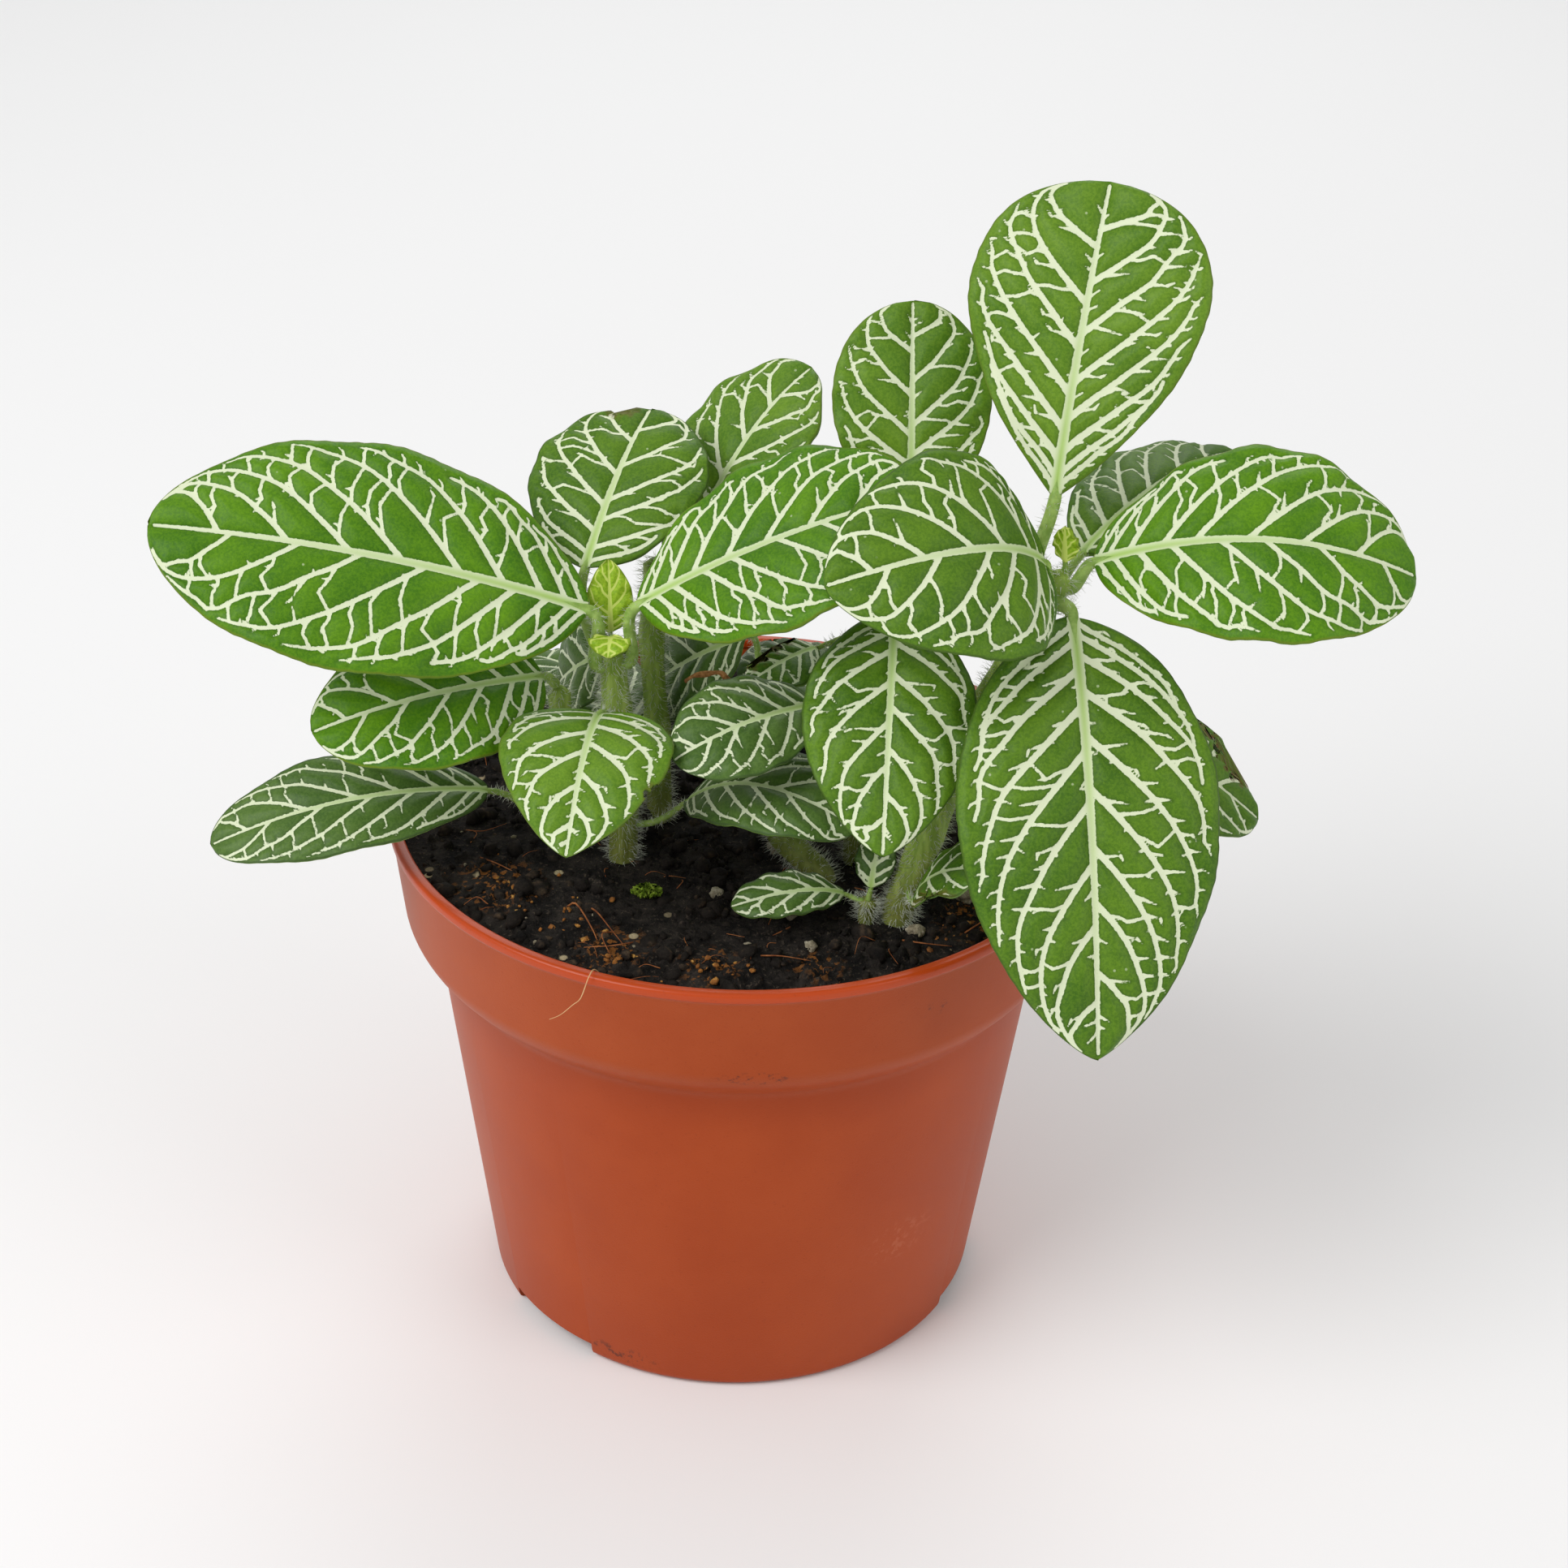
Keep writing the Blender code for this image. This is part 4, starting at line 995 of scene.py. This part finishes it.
below, where = new_finish("leaf_underside", 0.3)
vein = where.attribute("vein")
grain = where.noise(1800, 3, 0.7)
colour = grain.step(0.3, 0.7).mix(srgb(92, 124, 50), srgb(116, 146, 68))
colour = (vein.step(0.12, -0.1) * 0.6).mix(colour, srgb(160, 182, 112))
finish(below, colour, grain * 0.2 + 0.5, grain, depth=0.0001, strength=0.5)
pale = mottled("leaf_stalk", 0.35, (700, 3, 0.6), srgb(124, 156, 66), srgb(162, 190, 100), 0.42,
               0.0002, 0.5, Subsurface_Weight=0.1, Subsurface_Scale=0.0015)


def arc_length(curve, t):
    fine = np.linspace(0, 1, 200)
    place, _ = bezier(curve, fine)
    runs = np.concatenate([[0], np.cumsum(np.linalg.norm(np.diff(place, axis=0), axis=1))])
    return np.interp(t, fine, runs)


def blade(name, leaf, cell, rng):
    """The veined blade of a leaf as a mesh, with its underside as its second material."""
    midrib, _ = blade_frame(leaf)
    length = float(arc_length(midrib, 1.0))
    rows, columns = max(16, round(length / cell)), max(10, round(leaf["width"] / cell / 2) * 2)
    t = np.clip(np.linspace(0, 1, rows + 1), 0.0012, 0.9999)
    v = np.linspace(-1, 1, columns + 1)
    x = arc_length(midrib, t)
    wide = half_width(leaf, t)[:, None]
    y = wide * v
    net = Net(leaf, length, rng)
    vein, major = net.nearest(net.bits, x, y), net.nearest(net.major, x, y)
    t, x = t[:, None], x[:, None]
    edge = np.minimum(wide * (1 - np.abs(v)), length - x + 0.4)
    dead = np.zeros_like(y)
    gone = np.zeros_like(y, bool)
    for along, across, size in leaf["torn"]:
        bx, by = along * length, across * float(half_width(leaf, np.array([along]))[0])
        ragged = size * (1 + 0.16 * np.sin(3.1 * x + 2 * y) + 0.12 * np.sin(5.3 * y - x))
        away = np.hypot(x - bx, y - by) - ragged
        gone |= away < 0
        dead = np.maximum(dead, np.clip(1 - away / 0.9, 0, 1) * min(1.0, size / 4))
    rib = np.exp(-(y / 0.62) ** 2) * np.clip(1.1 - x / length * 1.25, 0, 1)
    puff = (0.26 * (1 - np.exp(-np.maximum(vein, 0) / 0.6))
            + 0.62 * (1 - np.exp(-np.maximum(major, 0) / 1.7))) * net.scale
    puff = puff * np.clip(edge / 1.4, 0, 1)
    phase, waves = rng.uniform(0, 6.28), rng.uniform(3.0, 4.6)
    wave = np.abs(v) ** 3 * 0.5 * net.scale * np.sin(waves * 2 * math.pi * t
                                                     + phase * np.sign(v))
    keel = 0.55 * net.scale * np.exp(-(y / 0.7) ** 2) * (1 - t) ** 0.6
    t, x = t[:, 0], x[:, 0]

    work = bmesh.new()
    bmesh.ops.create_cube(work, size=1)
    for axis, cuts in ((0, rows - 1), (1, columns - 1)):
        long = [e for e in work.edges if abs(e.verts[0].co[axis] - e.verts[1].co[axis]) > 0.5]
        bmesh.ops.subdivide_edges(work, edges=long, cuts=cuts)
    if gone.any():
        doomed = [w for w in work.verts
                  if gone[round((w.co.x + 0.5) * rows), round((w.co.y + 0.5) * columns)]]
        bmesh.ops.delete(work, geom=doomed, context="VERTS")
        rim = [e for e in work.edges if e.is_boundary]
        if rim:
            bmesh.ops.bridge_loops(work, edges=rim)
    mesh = new_mesh(name, work)
    places = read_places(mesh)
    i = np.rint((places[:, 0] + 0.5) * rows).astype(int)
    j = np.rint((places[:, 1] + 0.5) * columns).astype(int)
    face = np.sign(places[:, 2])
    centres = np.empty(len(mesh.polygons) * 3, np.float32)
    mesh.polygons.foreach_get("center", centres)
    mesh.polygons.foreach_set("material_index", (centres[2::3] < 0.4).astype(np.int32))
    ragged = 1 + 0.002 * (np.sin(x[i] * 1.7 + phase) + np.sin(x[i] * 2.9 - phase * v[j])) * (
        np.abs(v[j]) ** 6) / net.scale
    spot, normal, lift = blade_places(leaf, t[i], v[j])
    centre_line, _ = bezier(midrib, t[i])
    spot = centre_line + (spot - centre_line) * ragged[:, None]
    height = puff[i, j] + face * BLADE / 2 - np.where(face < 0, keel[i, j], 0)
    spot = spot + normal * height[:, None] + lift * wave[i, j][:, None]
    write_places(mesh, spot * MM + POT_AXIS)
    for attribute, values in (("vein", vein), ("rib", rib), ("edge", edge), ("dead", dead)):
        mesh.attributes.new(attribute, "FLOAT", "POINT").data.foreach_set(
            "value", values[i, j].astype(np.float32))
    return mesh


def stalk(name, leaf, rng):
    """The stalk of a leaf as a tube that runs on under the blade, and its hairs."""
    curve, radius = stalk_path(leaf)
    midrib, side = blade_frame(leaf)
    on, ends = 0.22, 0.62  # how far it runs under the blade, and where the free stalk ends

    def path(s):
        free, direction = bezier(curve, np.clip(s / ends, 0, 1))
        t = np.clip((s - ends) / (1 - ends), 0, 1) * on
        under, heading = bezier(midrib, t)
        lift = np.cross(square_to(side, heading), heading)
        under = under - lift * 0.45 * radius
        blend = np.clip((s - ends + 0.1) / 0.2, 0, 1)[:, None]
        blend = blend * blend * (3 - 2 * blend)
        return free * (1 - blend) + under * blend, unit(direction * (1 - blend) + heading * blend)

    def thick(s):
        return radius * (1 - 0.22 * np.clip(s / ends, 0, 1)
                         - 0.6 * np.clip((s - ends) / (1 - ends), 0, 1))

    mesh = new_mesh(name, straight_tube(14, 26))
    bend_tube(mesh, path, thick, side)
    free_length = float(arc_length(curve, 1.0))
    fuzz = hairs(name + "_down", lambda s: path(s * ends), lambda s: thick(s * ends), side,
                 max(12, round(free_length * 13)), (0.5, 1.2), rng)
    return mesh, fuzz


def veined(name, leaf, cell, top, under):
    """A leaf as one object: its blade, its stalk and the hairs on the stalk."""
    rng = np.random.default_rng(sum(ord(c) * (k + 3) for k, c in enumerate(name)))
    body = blade(name, leaf, cell, rng)
    tube, fuzz = stalk(name + "_stalk", leaf, rng)
    return joined("veined_" + name, [(body, None), (tube, 2), (fuzz, 3)],
                  [top, under, pale, down])


for name, leaf in LEAVES.items():
    made = veined(name, leaf, CELL, upper[leaf["tone"]], below)
    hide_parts(name)
    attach(made, "root")

# ------------------------------------------------------------------ buds
# The youngest leaves, still small and yellow-green, stand at the tops of two stems with their
# white net already drawn fine.
BUDS = {
    "bud_left_upper": leaf_on("left", 3, 0, (0, 0, 2), (-0.5, 3, 12), 6.6, (0.5, 0.5), curl=-10,
        taper=(0.6, 0.8), netted=0.8),
    "bud_left_lower": leaf_on("left", 3, 0, (0.3, -2.6, 2.5), (0, -6, 1), 6, (1, 0.5), curl=-10,
        taper=(0.6, 0.8), netted=0.8),
    "bud_right": leaf_on("right", 3, 0, (0, 0, 1.6), (-0.4, -0.8, 7), 3.8, (0.2, 0.2), curl=-10,
        taper=(0.6, 0.8), netted=0.8),
}
BUD_CELL = 0.12  # mesh cell across a bud's blade, in mm
fresh, where = new_finish("bud_green", 0.22)
vein, edge = where.attribute("vein"), where.attribute("edge")
grain = where.noise(2400, 3, 0.7)
colour = grain.step(0.3, 0.7).mix(srgb(120, 158, 20), srgb(156, 188, 44))
colour = (edge.step(0.5, 0.1) * 0.6).mix(colour, srgb(112, 134, 24))
finish(fresh, vein.step(-0.02, -0.12).mix(colour, srgb(196, 212, 104)), grain * 0.15 + 0.42, grain,
       depth=0.0001, strength=0.5)
for name, leaf in BUDS.items():
    made = veined(name, leaf, BUD_CELL, fresh, fresh)
    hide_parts(name)
    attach(made, "root")

# ------------------------------------------------------------------ withered stalk
# A dead leaf stalk, dry, brown and crooked, is still on the short stem in the middle. It
# stands out nearly level, to the left.
knots = stem_knots(STEMS["middle"])
axis = unit(knots[3] - knots[2])
start = knots[3] - axis * 2
across = square_to(np.array([-3.0, 1, 9]), axis)
start = start + across * 1.2
hook = [start, start + across * 2, start + (-3, 1, 9), start + (-10.5, 1.5, 3.5)]
dry = mottled("dry_stalk_brown", 0.15, (1100, 4, 0.7), srgb(104, 66, 34), srgb(178, 128, 78),
              0.7, 0.0003, 0.8)


def crooked(s):
    place, along = bezier(hook, s)
    wander = 0.22 * np.stack([np.sin(19 * s), np.cos(23 * s), np.sin(27 * s + 1)], 1)
    return place + wander * (s > 0.05)[:, None], along


def shrunken(s):
    return 0.5 * (1 + 0.35 * np.sin(31 * s) * s) * (1.15 - 0.45 * s)


mesh = new_mesh("withered_stalk", straight_tube(10, 40))
bend_tube(mesh, crooked, shrunken, (0, 1, 0.2))
withered = new_object("withered_stalk", mesh)
withered.data.materials.append(dry)
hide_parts("dry_stalk")
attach(withered, "root")

# ------------------------------------------------------------------ roots and fibres
# Thin dry roots and bark fibres lie over the mix: some are placed, and the rest are strewn.
# One pale thread hangs over the rim.
LOOSE_FIBRES = 90
FIBRES = [  # points in mm from the pot's axis, measured up from the mix, and thickness
    ([(-24, -28, 0.5), (-22.5, -30, 2.4), (-20, -33, 1.0), (-19, -36, 0.4)], 0.16),
    ([(-21, -27, 0.6), (-19.5, -31, 2.9), (-17.5, -34.5, 1.6), (-15, -37, 0.5)], 0.14),
    ([(-17, -33, 0.5), (-18.5, -36.5, 1.8), (-17, -40, 0.6)], 0.13),
    ([(-14, -35, 0.4), (-17, -38, 1.2), (-21, -37.5, 0.4)], 0.12),
    ([(33, -30, 0.5), (36, -30.5, 3.6), (38.5, -31.5, 4.4)], 0.13),
    ([(24, -33, 0.4), (27, -35, 1.4), (31, -34, 0.5)], 0.13),
    ([(-38, -14, 0.4), (-35, -17, 1.3), (-31, -19, 0.5)], 0.12),
    ([(4, -38, 0.4), (7, -40, 1.2), (11, -39.5, 0.4)], 0.12),
    ([(8, -31, 0.4), (4, -33.5, 1.0), (-1, -33, 0.4)], 0.11),
    ([(14, 30, 0.4), (18, 33, 1.4), (23, 31, 0.4)], 0.13),
    ([(-20, 28, 0.4), (-25, 26, 1.6), (-28, 22, 0.5)], 0.13),
]
fibre = mottled("dry_fibre", 0.2, (420, 3, 0.7), srgb(112, 60, 30), srgb(176, 112, 66), 0.65,
                0.0001, 0.5)


def on_mix(x, y, lift):
    """A point above the crumbly surface, all in mm."""
    return np.array([x, y, crumb_height(x * MM, y * MM) / MM + lift])


rng = np.random.default_rng(5)
strands = [([on_mix(*point) for point in points], thick) for points, thick in FIBRES]
for _ in range(LOOSE_FIBRES):
    bearing, out = rng.uniform(0, 2 * math.pi), 47 * math.sqrt(rng.random())
    heading, reach = rng.uniform(0, 2 * math.pi), rng.uniform(2, 7)
    points = []
    for step, lift in ((0, 0.0), (0.5, 0.8), (1, 0.1)):
        x = out * math.cos(bearing) + reach * step * math.cos(heading + step)
        y = out * math.sin(bearing) + reach * step * math.sin(heading + step)
        points.append(on_mix(*held_in(x, y, 49), lift * rng.uniform(0.3, 1.4)))
    strands.append((points, rng.uniform(0.05, 0.1)))
tubes = []
for k, (points, thick) in enumerate(strands):
    mesh = new_mesh(f"strand_{k}", straight_tube(5, 10))
    bend_tube(mesh, lambda s, p=points: curve_through(p, s),
              lambda s, w=thick: w * (1.1 - 0.7 * s), (0.3, 0.2, 1))
    tubes.append((mesh, 0))
roots = joined("roots_and_fibres", tubes, [fibre])
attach(roots, "root")

THREAD = [(-18.2, -44.5, 80.2), (-18.8, -48.2, 83.4), (-19.4, -50.2, 83.3), (-20.4, -50.9, 80.5),
          (-21.6, -49.9, 78.6), (-23.4, -48.9, 76.2), (-25.0, -48.1, 74.8)]
pale_thread = two_tone("pale_thread", 900, srgb(190, 140, 92), srgb(222, 186, 138))
mesh = new_mesh("thread", straight_tube(6, 40))
bend_tube(mesh, lambda s: curve_through([np.array(p, float) for p in THREAD], s),
          lambda s: 0.09 * (1.1 - 0.6 * s), (1, 0.2, 0.1))
thread = new_object("thread_over_rim", mesh)
thread.data.materials.append(pale_thread)
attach(thread, "root")
